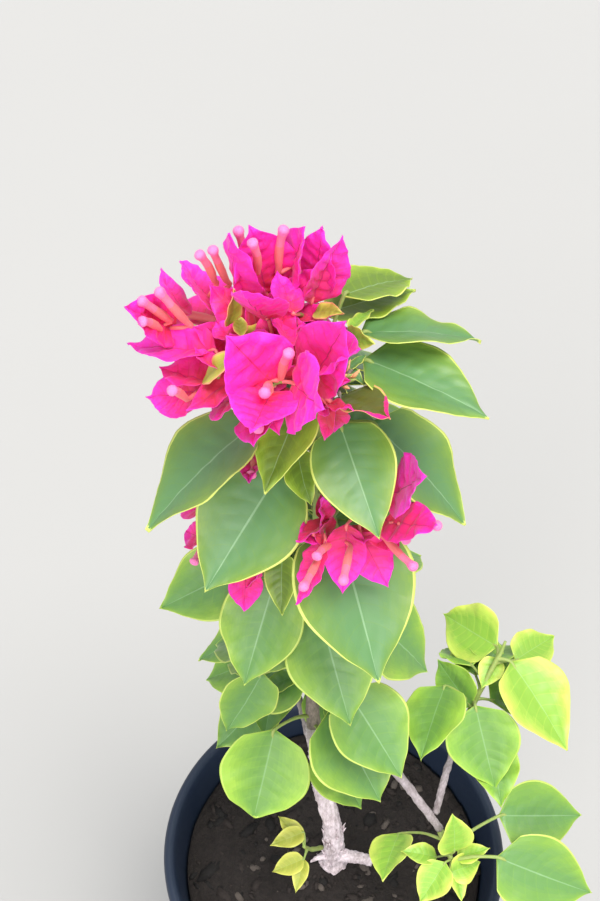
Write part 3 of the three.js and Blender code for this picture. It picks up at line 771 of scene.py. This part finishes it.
def bark_finish(name, pale, dark):
    """Dry bark, drawn out along the wood, with dark cracks, pale flakes and small raised pores."""
    finish = Finish(name)
    drawn_out = (1.0, 1.0, 0.28)
    at = finish.node("ShaderNodeMapping", inputs={"Vector": finish.place(), "Scale": drawn_out})
    fibres = finish.noise(900, detail=5, roughness=0.65, at=at)
    flakes = finish.noise(230, detail=4, roughness=0.6, at=at)
    pores = finish.node("ShaderNodeTexVoronoi", {"feature": "F1"}, {"Vector": at, "Scale": 520.0})
    tone = fibres * 0.55 + flakes * 0.55
    finish.set("Base Color", finish.node("ShaderNodeValToRGB", {"stops": [
        (0.34, dark[:3]), (0.52, pale[:3]), (0.66, rgba(pale, 1.2)[:3]),
    ]}, {"Fac": tone}))
    finish.set("Roughness", 0.75 + 0.2 * flakes)
    finish.relief(fibres * 0.5 + flakes + (1 - pores) * 0.4, distance=0.0009)
    return finish.material


def soil_finish(name, colour, crumb):
    """Damp potting mix: dark crumbs with paler fibres."""
    finish = Finish(name)
    crumbs = finish.noise(420, detail=6, roughness=0.7)
    damp = finish.noise(38)
    finish.set("Base Color", finish.blend(crumbs * 1.5 - 0.35, rgba(colour), rgba(crumb)))
    finish.set("Roughness", 0.7 + 0.25 * damp)
    finish.relief(crumbs + damp * 0.5, distance=0.002)
    return finish.material


def chip_finish(name, colour, shade):
    """Rough grain of grit or bark, between the colour and a darker shade of it."""
    finish = Finish(name)
    grain = finish.noise(900, detail=4, roughness=0.6)
    finish.set("Base Color", finish.blend(grain, rgba(colour, shade), rgba(colour)))
    finish.set("Roughness", 0.7 + 0.25 * grain)
    finish.relief(grain, distance=0.0006)
    return finish.material


def pot_finish(name, colour, dust):
    """Moulded plastic with a fine grain, dull scuffs and a little dust."""
    finish = Finish(name, Specular_IOR_Level=0.45)
    scuffs = finish.noise(46, detail=6, roughness=0.65)
    grain = finish.noise(1500, detail=2)
    film = finish.noise(11, detail=4) ** 3
    finish.set("Base Color", finish.blend(film * 0.55 + scuffs * 0.08, rgba(colour), rgba(dust)))
    finish.set("Roughness", 0.34 + 0.3 * scuffs)
    finish.relief(grain * 0.25 + scuffs * 0.4, distance=0.00025)
    return finish.material


def floor_finish(name, colour):
    """Plain pale matt ground."""
    finish = Finish(name)
    clouds = finish.noise(2.5, detail=2)
    finish.set("Base Color", finish.blend(clouds, rgba(colour), rgba(colour, 0.97)))
    finish.set("Roughness", 0.85 + 0.1 * clouds)
    return finish.material


def length_setting(name, description, default):
    return FloatProperty(name=name, description=description, default=default, min=0, unit="LENGTH")


def strength_setting(name, description, default):
    return FloatProperty(name=name, description=description, default=default, min=0)


def colour_setting(name, description, default):
    return FloatVectorProperty(name=name, description=description, default=(*default, 1.0),
                               size=4, min=0, max=1, subtype="COLOR")


class PotSettings(bpy.types.PropertyGroup):
    """Sizes and colours of the pot and its soil."""

    height: length_setting("Pot height", "From the underside to the rim", POT_HIGH.z)
    rim_radius: length_setting("Rim radius", "Widest radius, at the rim", POT_HIGH.x)
    foot_radius: length_setting("Foot radius", "Radius at the underside", 0.066)
    neck_radius: length_setting("Neck radius", "Radius just under the rim", 0.087)
    rim_depth: length_setting("Rim depth", "Height of the thick rim", 0.024)
    wall: length_setting("Wall", "Thickness of the pot's wall", 0.0022)
    colour: colour_setting("Pot colour", "Dark blue-grey plastic", (0.006, 0.016, 0.040))
    dust: colour_setting("Dust colour", "Dry film on the plastic", (0.07, 0.08, 0.10))
    soil: colour_setting("Soil colour", "Damp potting mix", (0.010, 0.0075, 0.0065))
    crumb: colour_setting("Crumb colour", "Drier crumbs of the mix", (0.036, 0.025, 0.021))
    grit: colour_setting("Grit colour", "Pale grit on the soil", (0.12, 0.096, 0.082))
    chips: IntProperty(name="Chips", description="Bits of bark and grit on the soil",
                       default=620, min=0)


class StemSettings(bpy.types.PropertyGroup):
    """Sizes and colours of the woody stems."""

    radius: length_setting("Stem radius", "Radius of the stem above its flare", 0.005)
    flare: length_setting("Flare radius", "Radius where the stem meets the soil", 0.0085)
    relief: length_setting("Bark relief", "Depth of the bark's ridges", 0.00038)
    pale: colour_setting("Pale bark", "Dry face of the bark", (0.76, 0.66, 0.70))
    dark: colour_setting("Dark bark", "Cracks in the bark", (0.36, 0.28, 0.28))
    branch_shade: strength_setting("Branch shade", "Bark of the branches against the stem's", 0.5)
    brown: colour_setting("Young bark", "Bark at the foot of the leader", (0.284, 0.2265, 0.1985))
    brown_dark: colour_setting("Young bark cracks", "Cracks in the young bark", (0.075, 0.065, 0.045))
    green: colour_setting("Green wood", "Young stems and stalks", (0.17, 0.30, 0.055))
    straw: colour_setting("Straw wood", "Streaks on the young stems", (0.42, 0.46, 0.14))


class LeafSettings(bpy.types.PropertyGroup):
    """Thickness and colours of the leaves."""

    thickness: length_setting("Leaf thickness", "Thickness of a leaf's blade", 0.0004)
    # The blue-grey of the old leaf's middle is partly painted sheen, the sky's reflection; its olive edge
    # band is the leaf's own colour.
    old: colour_setting("Old leaf", "Middle of a full-grown leaf", (0.112, 0.255, 0.088))
    old_edge: colour_setting("Old leaf edge", "Soft band inside the margin", (0.15, 0.28, 0.03))
    young: colour_setting("Young leaf", "Middle of a young leaf", (0.128, 0.285, 0.047))
    young_edge: colour_setting("Young leaf edge", "Soft band inside the margin", (0.26, 0.47, 0.04))
    lime: colour_setting("Lime leaf", "Middle of a leaf of the newest shoots", (0.235, 0.44, 0.045))
    lime_edge: colour_setting("Lime leaf edge", "Broad band inside the margin", (0.56, 0.66, 0.10))
    olive: colour_setting("Olive leaf", "Middle of the small leaves of the head", (0.34, 0.38, 0.045))
    olive_edge: colour_setting("Olive leaf edge", "Band inside the margin", (0.62, 0.60, 0.10))
    fresh: colour_setting("Fresh leaf", "Middle of the small leaves of the leader", (0.13, 0.22, 0.02))
    fresh_edge: colour_setting("Fresh leaf edge", "Band inside the margin", (0.30, 0.44, 0.025))
    folded: colour_setting("Folded leaf", "The dark leaf under the head", (0.11, 0.13, 0.014))
    margin: colour_setting("Margin", "Thin lime-yellow edge", (0.68, 0.76, 0.17))
    flushed: colour_setting("Flushed margin", "Peach edge of the newest leaves", (0.88, 0.42, 0.20))
    rib: colour_setting("Midrib", "Pale line along the leaf", (0.50, 0.74, 0.46))
    under: colour_setting("Underside", "Matt back of a leaf", (0.20, 0.34, 0.11))


class BloomSettings(bpy.types.PropertyGroup):
    """Thickness and colours of the bracts and flower tubes."""

    thickness: length_setting("Bract thickness", "Thickness of a bract", 0.00025)
    # Magenta, pink and coral are partly the bracts' own colours and partly painted light and shade:
    # magenta for lit tips, coral for shaded bases and the depths of the clusters.
    magenta: colour_setting("Magenta", "Outer part of a bract", (0.88, 0.022, 0.50))
    pink: colour_setting("Hot pink", "Middle of a bract", (0.83, 0.013, 0.25))
    coral: colour_setting("Coral", "Base of a bract", (0.60, 0.02, 0.075))
    rib: colour_setting("Bract rib", "Dark line along a bract", (0.50, 0.008, 0.14))
    tube: colour_setting("Flower tube", "Salmon tube", (0.82, 0.19, 0.20))
    bud: colour_setting("Bud", "Lilac-pink end of the tube", (0.90, 0.20, 0.46))


class StageSettings(bpy.types.PropertyGroup):
    """Floor, light and camera."""

    floor: colour_setting("Floor colour", "Plain pale ground", (0.42, 0.415, 0.405))
    sky: strength_setting("Sky", "Strength of the even light", 0.8)
    key: strength_setting("Key", "Strength of the soft light from above", 3.2)
    fill: strength_setting("Fill", "Strength of the soft light from the front", 1.9)
    lens: FloatProperty(name="Lens", description="Focal length in mm", default=54.1, min=1)
    tilt: FloatProperty(name="Tilt", description="Camera's angle above the horizon", subtype="ANGLE",
                        default=math.radians(50))


def leaf_materials(leaves, age):
    """Every green of a leaf of that age, from the middle of its blade to its margin."""
    share = AGES[age]
    stages = [
        (leaves.old, leaves.old_edge), (leaves.young, leaves.young_edge),
        (leaves.lime, leaves.lime_edge), (leaves.olive, leaves.olive_edge),
        (leaves.fresh, leaves.fresh_edge),
    ]
    step = min(int(share), 3)
    core, band = (between(a, b, share - step) for a, b in zip(stages[step], stages[step + 1]))
    gloss, glow = mix(0.34, 0.38, min(share, 1)), mix(0.04, 0.12, min(share, 1))
    colours = {}
    for k in range(GREENS):
        step = k / (GREENS - 1)
        colours[f"leaf_{age}_{k}"] = between(between(core, band, step), leaves.margin, 0.1 * step**4)
    youth = 0 if age == "fresh" else min(share, 1)
    margin = between(leaves.margin, band, mix(0.15, 0.6, youth))
    colours[f"margin_{age}"] = leaves.flushed[:3] if age == "bud" else margin
    colours[f"rib_{age}"] = between(core, leaves.rib, mix(0.28, 0.15, youth))
    made = {name: leaf_finish(name, colour, gloss, glow) for name, colour in colours.items()}
    under = between(leaves.under, band, 0.35 * min(share, 1))
    made[f"under_{age}"] = leaf_finish(f"under_{age}", under, gloss=0.55, glow=glow)
    return made


def bloom_materials(blooms):
    """Every pink that the bracts and flower tubes use."""
    made = {}
    for k in range(PINKS):
        step = 2 * k / (PINKS - 1)
        low, high = (blooms.coral, blooms.pink) if step < 1 else (blooms.pink, blooms.magenta)
        share = step % 1 if k < PINKS - 1 else 1
        made[f"bract_{k}"] = bract_finish(f"bract_{k}", between(low, high, share), glow=0.5)
    made["bract_rib"] = bract_finish("bract_rib", blooms.rib[:3], glow=0.1)
    for k in range(3):
        colour = between(blooms.tube, blooms.bud, k / 2)
        made[f"tube_{k}"] = bract_finish(f"tube_{k}", colour, glow=0.25)
    return made


def stalk_materials(stems):
    """Green wood, and the young bark that it turns into."""
    return {
        "stalk": stalk_finish("stalk", stems.green[:3], stems.straw[:3]),
        "wood": bark_finish("young_bark", stems.brown[:3], stems.brown_dark[:3]),
    }


def make_leaves(name, node, slot, rows, age_of):
    """Leaves of a shoot, each age as one mesh."""
    settings = bpy.context.scene.plant_leaves
    for age in AGES:
        some = [row for row in rows if age_of(row) == age]
        if some:
            leaves = Piece()
            for row in some:
                add_blade(leaves, row, "leaf", settings.thickness / MM, leaf_finishes(age))
            leaves.make(f"{name}_leaves_{age}", slot, node, leaf_materials(settings, age))


def make_shoot(name, node, slot, path, radii, rows, age_of, woody=0.0):
    """The leaves of a shoot, and its stem and stalks as one mesh.

    woody is the share of the stem, from its foot, that has bark.
    """
    twigs = Piece()
    add_tube(twigs, smooth_path(path, 12), radii, sides=14,
             finish=lambda share: "wood" if share < woody else "stalk",
             relief=lambda points: 0.16 * ripple(points, size=7, salt=71))
    for row in rows:
        length = row[6]
        add_stalk(twigs, root_of([path], row), row, 0.45 + length / 95, "leaf", "stalk")
    make_leaves(name, node, slot, rows, age_of)
    twigs.make(f"{name}_twigs", slot, node, stalk_materials(bpy.context.scene.plant_stems))


def make_bloom(name, node, paths, radius, bracts, inner, tubes, warmth_and_shade):
    """The bracts, flower tubes and stalks of a bloom cluster, each kind as one mesh.

    The warmth given moves its pinks towards coral: partly the cluster's own warmer tone, partly painted
    shade.
    """
    settings = bpy.context.scene.plant_blooms
    papers, flowers, twigs = Piece(), Piece(), Piece()
    for path in paths:
        add_tube(twigs, smooth_path(path, 8), [radius, radius * 0.7], sides=10, finish="stalk")
    middle = np.mean([row[2] for row in bracts])

    def warmth_of(row):
        # Painted light and shade: bracts low in the cluster turn towards coral as if shaded, and those
        # high in it turn towards magenta as if lit.
        height_light_and_shade = np.clip((middle - row[2]) * 0.018, -0.14, 0.2)
        # Bracts deep in the cluster turn further towards coral: painted shade.
        deep_in_shade = 0.4 if row in inner else 0
        return warmth_and_shade + height_light_and_shade + mix(-0.1, 0.1, chance(row[0] + row[1], 44)) + deep_in_shade

    def stalk_finish_of(share):
        return "stalk" if share < 0.4 else "tube_0"

    finish_of = bract_finishes(warmth_of)
    for row in bracts + inner:
        add_stalk(twigs, root_of(paths, row), row, 0.7, "bract", stalk_finish_of)
        add_blade(papers, row, "bract", settings.thickness / MM, finish_of)
    for row in tubes:
        add_flower(flowers, root_on_bract(bracts, row), row)
    finishes = bloom_materials(settings)
    papers.make(f"{name}_bracts", "bract", node, finishes)
    flowers.make(f"{name}_flowers", "bract", node, finishes)
    finishes |= stalk_materials(bpy.context.scene.plant_stems)
    twigs.make(f"{name}_stalks", "bract", node, finishes)


def bark_relief(depth):
    """Ridges that run along the wood, with knots and a fine crumble."""
    def relief(points):
        stretched = points * np.array([1, 1, 0.25])
        fibres = ripple(stretched, 2.4, 80) + 0.5 * ripple(stretched, 1.2, 92)
        return depth * (fibres + 0.8 * ripple(points, 9, 84) + 0.4 * ripple(points, 1.3, 88))
    return relief


def loose_bark(count):
    """Thin strips that peel away round the foot of the stem and at the end of its stub."""
    strips = []
    for k in range(count):
        out = heading(GOLDEN_ANGLE * k, 0)
        low, long = mix(2, 42, chance(k, 61) ** 1.5), mix(5, 13, chance(k, 62))
        skin = np.interp(low, [0, 7, 45], [8, 5.6, 4.9])
        base = np.array([-0.5, 0, low]) + out * skin
        away = out * mix(0.6, 2.6, chance(k, 63))
        bend = base + away * 0.3 + [0, 0, long * 0.5]
        strips.append(([base - out, bend, base + away + [0, 0, long]], [0.8, 0.7, 0.15], 6))
    tip = np.array(STUB[-1], float)
    for k in range(9):
        start = tip + np.array([-2.5, *(heading(40 * k, 0)[:2] * 2)])
        outward = heading(mix(-45, 20, chance(k, 64)), mix(-25, 25, chance(k, 65)))
        point = tip + outward * mix(2, 5, chance(k, 66))
        strips.append(([start, (start + point) / 2, point + (start - tip) * 0.4], [1.2, 0.9, 0.15], 6))
    return strips


def make_wood(name, node, limbs, shade=1.0):
    """Woody limbs with bark relief; each limb is a path, its radii and its sides."""
    stems = bpy.context.scene.plant_stems
    piece = Piece()
    for path, radii, sides in limbs:
        depth = stems.relief / MM * min(radii[0] / 5, 1)
        add_tube(piece, path, radii, sides, "bark", bark_relief(depth))
    bark = bark_finish(name, rgba(stems.pale, shade), rgba(stems.dark, shade))
    piece.make(name, "bark", node, {"bark": bark})


class PLANT_OT_pot(bpy.types.Operator):
    """Makes the tapered pot with its thick rolled rim"""

    bl_idname = "plant.pot"
    bl_label = "Pot"

    def execute(self, context):
        pot = context.scene.plant_pot
        height, rim, neck = pot.height / MM, pot.rim_radius / MM - 1, pot.neck_radius / MM
        foot, wall, depth = pot.foot_radius / MM, pot.wall / MM, pot.rim_depth / MM
        shoulder = height - depth
        # Up the outside from the flat base, over the rolled lip and down the inside.
        profile = [(foot - 6, 0), (foot - 2.5, 0), (foot - 0.8, 0.5), (foot, 2)]
        profile += [(mix(foot, neck, k / 12), mix(2, shoulder - 1, k / 12)) for k in range(1, 13)]
        profile += [(neck + 0.6, shoulder - 0.2), (rim - 2.2, shoulder), (rim - 0.6, shoulder + 0.6)]
        profile += [(rim, shoulder + 2.2), (rim + 0.5, shoulder + depth * 0.45), (rim + 1, height - 5.5)]
        profile += [(rim - 2.2 + 3.2 * math.cos(a), height - 4 + 4 * math.sin(a))
                    for a in np.linspace(0.2, math.pi - 0.35, 9)]
        profile += [(rim - 6.4, height - 6), (neck - wall + 0.6, shoulder), (foot - wall, wall + 1)]
        profile = np.array(profile)
        sides = 128
        around = np.linspace(0, 2 * math.pi, sides, endpoint=False)
        low = -SOIL_TOP / MM
        points = np.stack([
            np.outer(profile[:, 0], np.cos(around)), np.outer(profile[:, 0], np.sin(around)),
            np.repeat(profile[:, 1:2] + low, sides, 1),
        ], -1)
        piece = Piece()
        count = len(profile)
        ends = np.array([np.arange(sides)[::-1], (count - 1) * sides + np.arange(sides)])
        piece.add(points.reshape(-1, 3), [walls_round(count, sides), ends], ["pot", "pot"])
        plastic = pot_finish("pot_plastic", pot.colour[:3], pot.dust[:3])
        piece.make("pot_shell", "pot", "pot", {"pot": plastic})
        return {"FINISHED"}


class PLANT_OT_soil(bpy.types.Operator):
    """Makes the crumbly soil and the bits of bark and grit on it"""

    bl_idname = "plant.soil"
    bl_label = "Soil"

    def execute(self, context):
        pot = context.scene.plant_pot
        edge = (SOIL_HIGH.x - 0.0003) / MM
        sides, rings = 160, 60
        radii = edge * np.linspace(0.02, 1, rings) ** 0.8
        around = np.linspace(0, 2 * math.pi, sides, endpoint=False)
        x, y = np.outer(radii, np.cos(around)), np.outer(radii, np.sin(around))
        flat = np.stack([x, y, np.zeros_like(x)], -1)
        level = np.interp(radii, [0, 12, 30, edge - 6, edge], [0, 0, -0.5, -2, -3])
        z = level[:, None] - 0.7
        for depth, size, salt in ((0.7, 22, 90), (0.5, 7, 94), (0.3, 2.6, 97)):
            z = z + depth * ripple(flat, size, salt)
        points = np.stack([x, y, z], -1).reshape(-1, 3)
        skirt = points[-sides:] + np.array([0, 0, -8])
        caps = np.array([np.arange(sides), rings * sides + np.arange(sides)[::-1]])
        bed = Piece()
        bed.add(np.vstack([points, skirt]), [walls_round(rings + 1, sides)[:, [0, 3, 2, 1]], caps],
                ["soil", "soil"])
        potting_mix = soil_finish("potting_mix", pot.soil[:3], pot.crumb[:3])
        bed.make("soil_bed", "soil", "soil", {"soil": potting_mix})
        self.make_chips(pot, edge)
        return {"FINISHED"}

    def make_chips(self, pot, edge):
        """Angular bits that lie half sunk in the soil."""
        rng = np.random.default_rng(CHIP_SEED)
        q = (1 + math.sqrt(5)) / 2
        shape = np.array([
            [-1, q, 0], [1, q, 0], [-1, -q, 0], [1, -q, 0], [0, -1, q], [0, 1, q],
            [0, -1, -q], [0, 1, -q], [q, 0, -1], [q, 0, 1], [-q, 0, -1], [-q, 0, 1],
        ]) / q
        faces = np.array([
            [0, 11, 5], [0, 5, 1], [0, 1, 7], [0, 7, 10], [0, 10, 11], [1, 5, 9], [5, 11, 4],
            [11, 10, 2], [10, 7, 6], [7, 1, 8], [3, 9, 4], [3, 4, 2], [3, 2, 6], [3, 6, 8],
            [3, 8, 9], [4, 9, 5], [2, 4, 11], [6, 2, 10], [8, 6, 7], [9, 8, 1],
        ])
        piece = Piece()
        for _ in range(pot.chips):
            away, turn = edge * math.sqrt(rng.uniform(0.015, 0.93)), rng.uniform(0, 2 * math.pi)
            size = rng.choice([0.8, 1.2, 1.8, 2.6], p=[0.4, 0.32, 0.2, 0.08]) * rng.uniform(0.8, 1.2)
            stretch = np.array([rng.uniform(1, 2.4), 1, rng.uniform(0.35, 0.8)]) * size
            c, s = math.cos(rng.uniform(0, 6.28)), math.sin(rng.uniform(0, 6.28))
            body = (shape + rng.normal(0, 0.16, shape.shape)) * stretch
            body = body @ np.array([[c, s, 0], [-s, c, 0], [0, 0, 1]])
            level = np.interp(away, [0, 30, edge], [-0.4, -1, -3])
            place = np.array([away * math.cos(turn), away * math.sin(turn), level])
            tone = rng.choice(["bark_chip", "dark_chip", "grit"], p=[0.5, 0.4, 0.1])
            piece.add(body + place, [faces], [str(tone)])
        piece.make("soil_chips", "soil", "soil", {
            "bark_chip": chip_finish("bark_chip", pot.crumb[:3], shade=0.4),
            "dark_chip": chip_finish("dark_chip", pot.soil[:3], shade=0.5),
            "grit": chip_finish("grit", pot.grit[:3], shade=0.6),
        })


class PLANT_OT_stems(bpy.types.Operator):
    """Makes the grey woody stem with its cut stub, and the three woody branches"""

    bl_idname = "plant.stems"
    bl_label = "Stems"

    def execute(self, context):
        stems = context.scene.plant_stems
        radius, flare = stems.radius / MM, stems.flare / MM
        trunk = smooth_path([[0, 0, 0.3], [0, 0, 7], *LEADER[1:3], STEM_END], 26)
        heights = trunk[:, 2]
        radii = np.interp(heights, [0, 7, 45, 95, STEM_END[2]], [flare, radius + 0.8, radius, 4.4, 3.6])
        stub = smooth_path(STUB, 12)
        spur = [[-3, -2, 10], [-9, -4, 12], [-13, -5, 9]]
        limbs = [(trunk, radii, 40), (stub, [4, 3.6, 3], 28), (smooth_path(spur, 8), [2, 1.5, 0.5], 12)]
        make_wood("stem_bark", "stem_main", limbs + loose_bark(34))
        right = (smooth_path(BRANCH_RIGHT, 16), [2.6, 2.5, 2.4, 2.2, 2], 22)
        rising = (smooth_path(BRANCH_RISING, 14), [1.9, 1.9, 1.8, 1.6], 20)
        back = (smooth_path(BRANCH_BACK, 14), [2.2, 2, 1.8], 20)
        for node, limb in (("branch_right", right), ("branch_rising", rising), ("branch_back", back)):
            make_wood(f"{node}_bark", node, [limb], stems.branch_shade)
        return {"FINISHED"}


class PLANT_OT_leader(bpy.types.Operator):
    """Makes the leafy leader: full-grown leaves above, brighter ones below"""

    bl_idname = "plant.leader"
    bl_label = "Leader"

    def execute(self, context):
        path = [[*STEM_END[:2], STEM_END[2] + 0.5], *LEADER[3:]]
        rows = LEADER_LEAVES + back_leaves(path, count=46, low=168, high=392, start=30, sector=120,
                                           reach=18, size=54, free=KEPT_FREE)
        rows += back_leaves(path, count=34, low=176, high=388, start=-25, sector=230,
                            reach=7, size=25, free=KEPT_FREE)

        def age_of(row):
            if row in FRESH_LEAVES:
                return "fresh"
            level = row[2] + mix(-14, 14, chance(row[0], 45))
            return "old" if level > 322 else "middle" if level > 190 else "young"

        make_shoot("leader", "leaves_leader", "leaf", path, [3.5, 3.2, 2.6, 1.8], rows, age_of,
                   woody=0.35)
        return {"FINISHED"}


class PLANT_OT_side_shoots(bpy.types.Operator):
    """Makes the young shoots on the right, low, behind and at the foot"""

    bl_idname = "plant.side_shoots"
    bl_label = "Side shoots"

    def execute(self, context):
        def by_size(row):
            return "middle" if row[6] > 45 else "lime"

        def bright(row):
            return "lime" if row[0] > 80 else "young"

        def mixed(row):
            return "middle" if chance(row[0], 46) > 0.5 else "young"

        right = RIGHT_LEAVES + back_leaves(SHOOT_RIGHT, count=5, low=138, high=164, start=20,
                                           sector=100, reach=14, size=42)
        back = back_leaves(SHOOT_BACK, count=12, low=120, high=164, start=0, sector=360,
                           reach=15, size=46)
        make_shoot("right", "leaves_right", "young_leaf", SHOOT_RIGHT, [1.6, 1.4, 1.1, 0.7], right,
                   bright)
        make_shoot("low", "leaves_low", "young_leaf", SHOOT_LOW, [1.9, 1.7, 1.2], LOW_LEAVES, by_size)
        make_shoot("back", "leaves_back", "young_leaf", SHOOT_BACK, [1.7, 1.5, 1.2, 0.7], back, mixed)
        make_shoot("foot", "leaves_foot", "young_leaf", SHOOT_FOOT, [1.4, 1.2, 0.8], FOOT_LEAVES,
                   lambda row: "sprig")
        return {"FINISHED"}


class PLANT_OT_blooms(bpy.types.Operator):
    """Makes the large bloom head and the four side clusters"""

    bl_idname = "plant.blooms"
    bl_label = "Blooms"

    def execute(self, context):
        rear = [fan(*place) for place in (
            ([-25, 20, 417], 92, -35), ([-44, 18, 415], 140, -40), ([-34, 20, 404], 115, -50),
        )]
        bracts = TOP_BRACTS + [row for some, _ in rear for row in some]
        tubes = TOP_TUBES + [row for _, some in rear for row in some]
        inner = TOP_INNER + inner_bracts([-30, -2, 419], count=16, reach=6, size=20)
        inner += inner_bracts([-22, -12, 417], count=8, reach=5, size=18)
        make_bloom("top", "bloom_top", HEAD, 1.6, bracts, inner, tubes, warmth_and_shade=0.07)
        make_leaves("top_young", "bloom_top", "bract", TOP_YOUNG, self.age_in_head)
        self.make_folded_leaf()
        self.make_buds()
        make_bloom("right_side", "bloom_right", TWIG_RIGHT, 1.2, RIGHT_BRACTS, RIGHT_INNER,
                   RIGHT_TUBES, warmth_and_shade=0.1)
        make_bloom("left_side", "bloom_left", TWIG_LEFT, 1.2, LEFT_BRACTS, [], LEFT_TUBES, warmth_and_shade=0.2)
        make_bloom("front_side", "bloom_front", TWIG_FRONT, 1.1, FRONT_BRACTS, [], FRONT_TUBES,
                   warmth_and_shade=0.3)
        high, low = fan([-15, 30, 341], 90, 15), fan([-14, 28, 336], 60, -40)
        make_bloom("rear_side", "bloom_rear", TWIG_REAR, 1.2, high[0] + low[0], [], high[1],
                   warmth_and_shade=0.1)
        return {"FINISHED"}

    def age_in_head(self, row):
        """Olive on the left, lime on the right and green where they are folded deep in."""
        return "old" if row[2] < 420 else "lime" if row[0] > -5 else "bud"

    def make_folded_leaf(self):
        """The olive leaf under the head, flushed pink at its tip."""
        scene = bpy.context.scene

        def finish_of(row, t, s, on_vein, spot):
            top, under, edge = leaf_finishes("bud")(row, t, s, on_vein, spot)
            flushed = t + 0.5 * s > 1.05
            top = np.where(flushed, "bract_3", np.where(s > 0.9, top, "folded"))
            return top, np.where(flushed, "bract_2", under), edge

        leaf = Piece()
        add_blade(leaf, FOLDED_LEAF, "leaf", scene.plant_leaves.thickness / MM, finish_of)
        finishes = leaf_materials(scene.plant_leaves, "bud") | bloom_materials(scene.plant_blooms)
        finishes["folded"] = leaf_finish("folded", scene.plant_leaves.folded[:3], gloss=0.34, glow=0.05)
        leaf.make("top_folded_leaf", "bract", "bloom_top", finishes)

    def make_buds(self):
        """Fuzzy bud scales and dry tips where the leader ends."""
        scene = bpy.context.scene
        piece = Piece()
        for k in range(40):
            azimuth = GOLDEN_ANGLE * k
            out = heading(azimuth, mix(-30, 60, chance(k, 67)))
            base = np.array([-6, -11, 417.0]) + out * mix(1, 4, chance(k, 68))
            grown = heading(azimuth + 20, mix(-10, 70, chance(k, 69)))
            point = base + grown * mix(2, 6.5, chance(k, 70))
            finish = ["wood", "dry", "stalk"][int(chance(k, 71) * 3)]
            path = [base, (base + point) / 2, point]
            add_tube(piece, path, [0.5, 0.8, 0.15], sides=6, finish=finish)
        finishes = stalk_materials(scene.plant_stems)
        finishes["dry"] = bract_finish("dry_tip", scene.plant_leaves.flushed[:3], glow=0.2)
        piece.make("top_buds", "bract", "bloom_top", finishes)


class PLANT_OT_stage(bpy.types.Operator):
    """Makes the pale floor, the soft lights and the camera"""

    bl_idname = "plant.stage"
    bl_label = "Stage"

    def execute(self, context):
        stage = context.scene.plant_stage
        mesh = bpy.data.meshes.new("floor")
        around = np.linspace(0, 2 * math.pi, FLOOR_SIDES, endpoint=False)
        rim = [(FLOOR_RADIUS * math.cos(a), FLOOR_RADIUS * math.sin(a), 0) for a in around]
        mesh.from_pydata(rim, [], [range(len(rim))])
        mesh.materials.append(floor_finish("floor", stage.floor[:3]))
        floor = bpy.data.objects.new("floor", mesh)
        context.scene.collection.objects.link(floor)
        self.light("overhead", stage.key, *OVERHEAD)
        self.light("front", stage.fill, *FRONT)
        world = bpy.data.worlds.new("even_light")
        world.use_nodes = True
        background = world.node_tree.nodes["Background"].inputs
        background["Color"].default_value = (*SKY_COLOUR, 1)
        background["Strength"].default_value = stage.sky
        context.scene.world = world
        context.scene.view_settings.view_transform = "Standard"
        camera = bpy.data.cameras.new("camera")
        camera.lens, camera.sensor_width = stage.lens, 36
        camera.clip_start, camera.clip_end = 0.01, 50
        holder = bpy.data.objects.new("camera", camera)
        holder.location = CAMERA_PLACE
        holder.rotation_euler = (math.pi / 2 - stage.tilt, 0, 0)
        context.scene.collection.objects.link(holder)
        context.scene.camera = holder
        return {"FINISHED"}

    def light(self, name, strength, source, softness, colour):
        """Even light from a direction; softness is the angle that its source fills."""
        lamp = bpy.data.lights.new(name, "SUN")
        lamp.angle, lamp.energy, lamp.color = math.radians(softness), strength, colour
        holder = bpy.data.objects.new(name, lamp)
        back = unit(np.array(source))
        side = unit(np.cross([0, 0, 1], back))
        holder.matrix_world = Matrix(np.stack([side, np.cross(back, side), back], 1).tolist()).to_4x4()
        bpy.context.scene.collection.objects.link(holder)


SETTINGS = {
    "plant_pot": PotSettings, "plant_stems": StemSettings, "plant_leaves": LeafSettings,
    "plant_blooms": BloomSettings, "plant_stage": StageSettings,
}
OPERATORS = (
    PLANT_OT_pot, PLANT_OT_soil, PLANT_OT_stems, PLANT_OT_leader, PLANT_OT_side_shoots,
    PLANT_OT_blooms, PLANT_OT_stage,
)


class PLANT_PT_panel(bpy.types.Panel):
    """Settings and steps of the potted plant"""

    bl_idname = "PLANT_PT_panel"
    bl_label = "Potted plant"
    bl_space_type = "VIEW_3D"
    bl_region_type = "UI"
    bl_category = "Plant"

    def draw(self, context):
        for name, group in SETTINGS.items():
            box = self.layout.box()
            for key in group.__annotations__:
                box.prop(getattr(context.scene, name), key)
        for operator in OPERATORS:
            self.layout.operator(operator.bl_idname)


def register():
    for name, group in SETTINGS.items():
        bpy.utils.register_class(group)
        setattr(bpy.types.Scene, name, PointerProperty(type=group))
    for operator in (*OPERATORS, PLANT_PT_panel):
        bpy.utils.register_class(operator)


def unregister():
    for operator in reversed((*OPERATORS, PLANT_PT_panel)):
        bpy.utils.unregister_class(operator)
    for name, group in reversed(SETTINGS.items()):
        delattr(bpy.types.Scene, name)
        bpy.utils.unregister_class(group)


def main():
    register()
    bpy.ops.plant.pot()
    bpy.ops.plant.soil()
    bpy.ops.plant.stems()
    bpy.ops.plant.leader()
    bpy.ops.plant.side_shoots()
    bpy.ops.plant.blooms()
    bpy.ops.plant.stage()


if __name__ == "__main__":
    main()
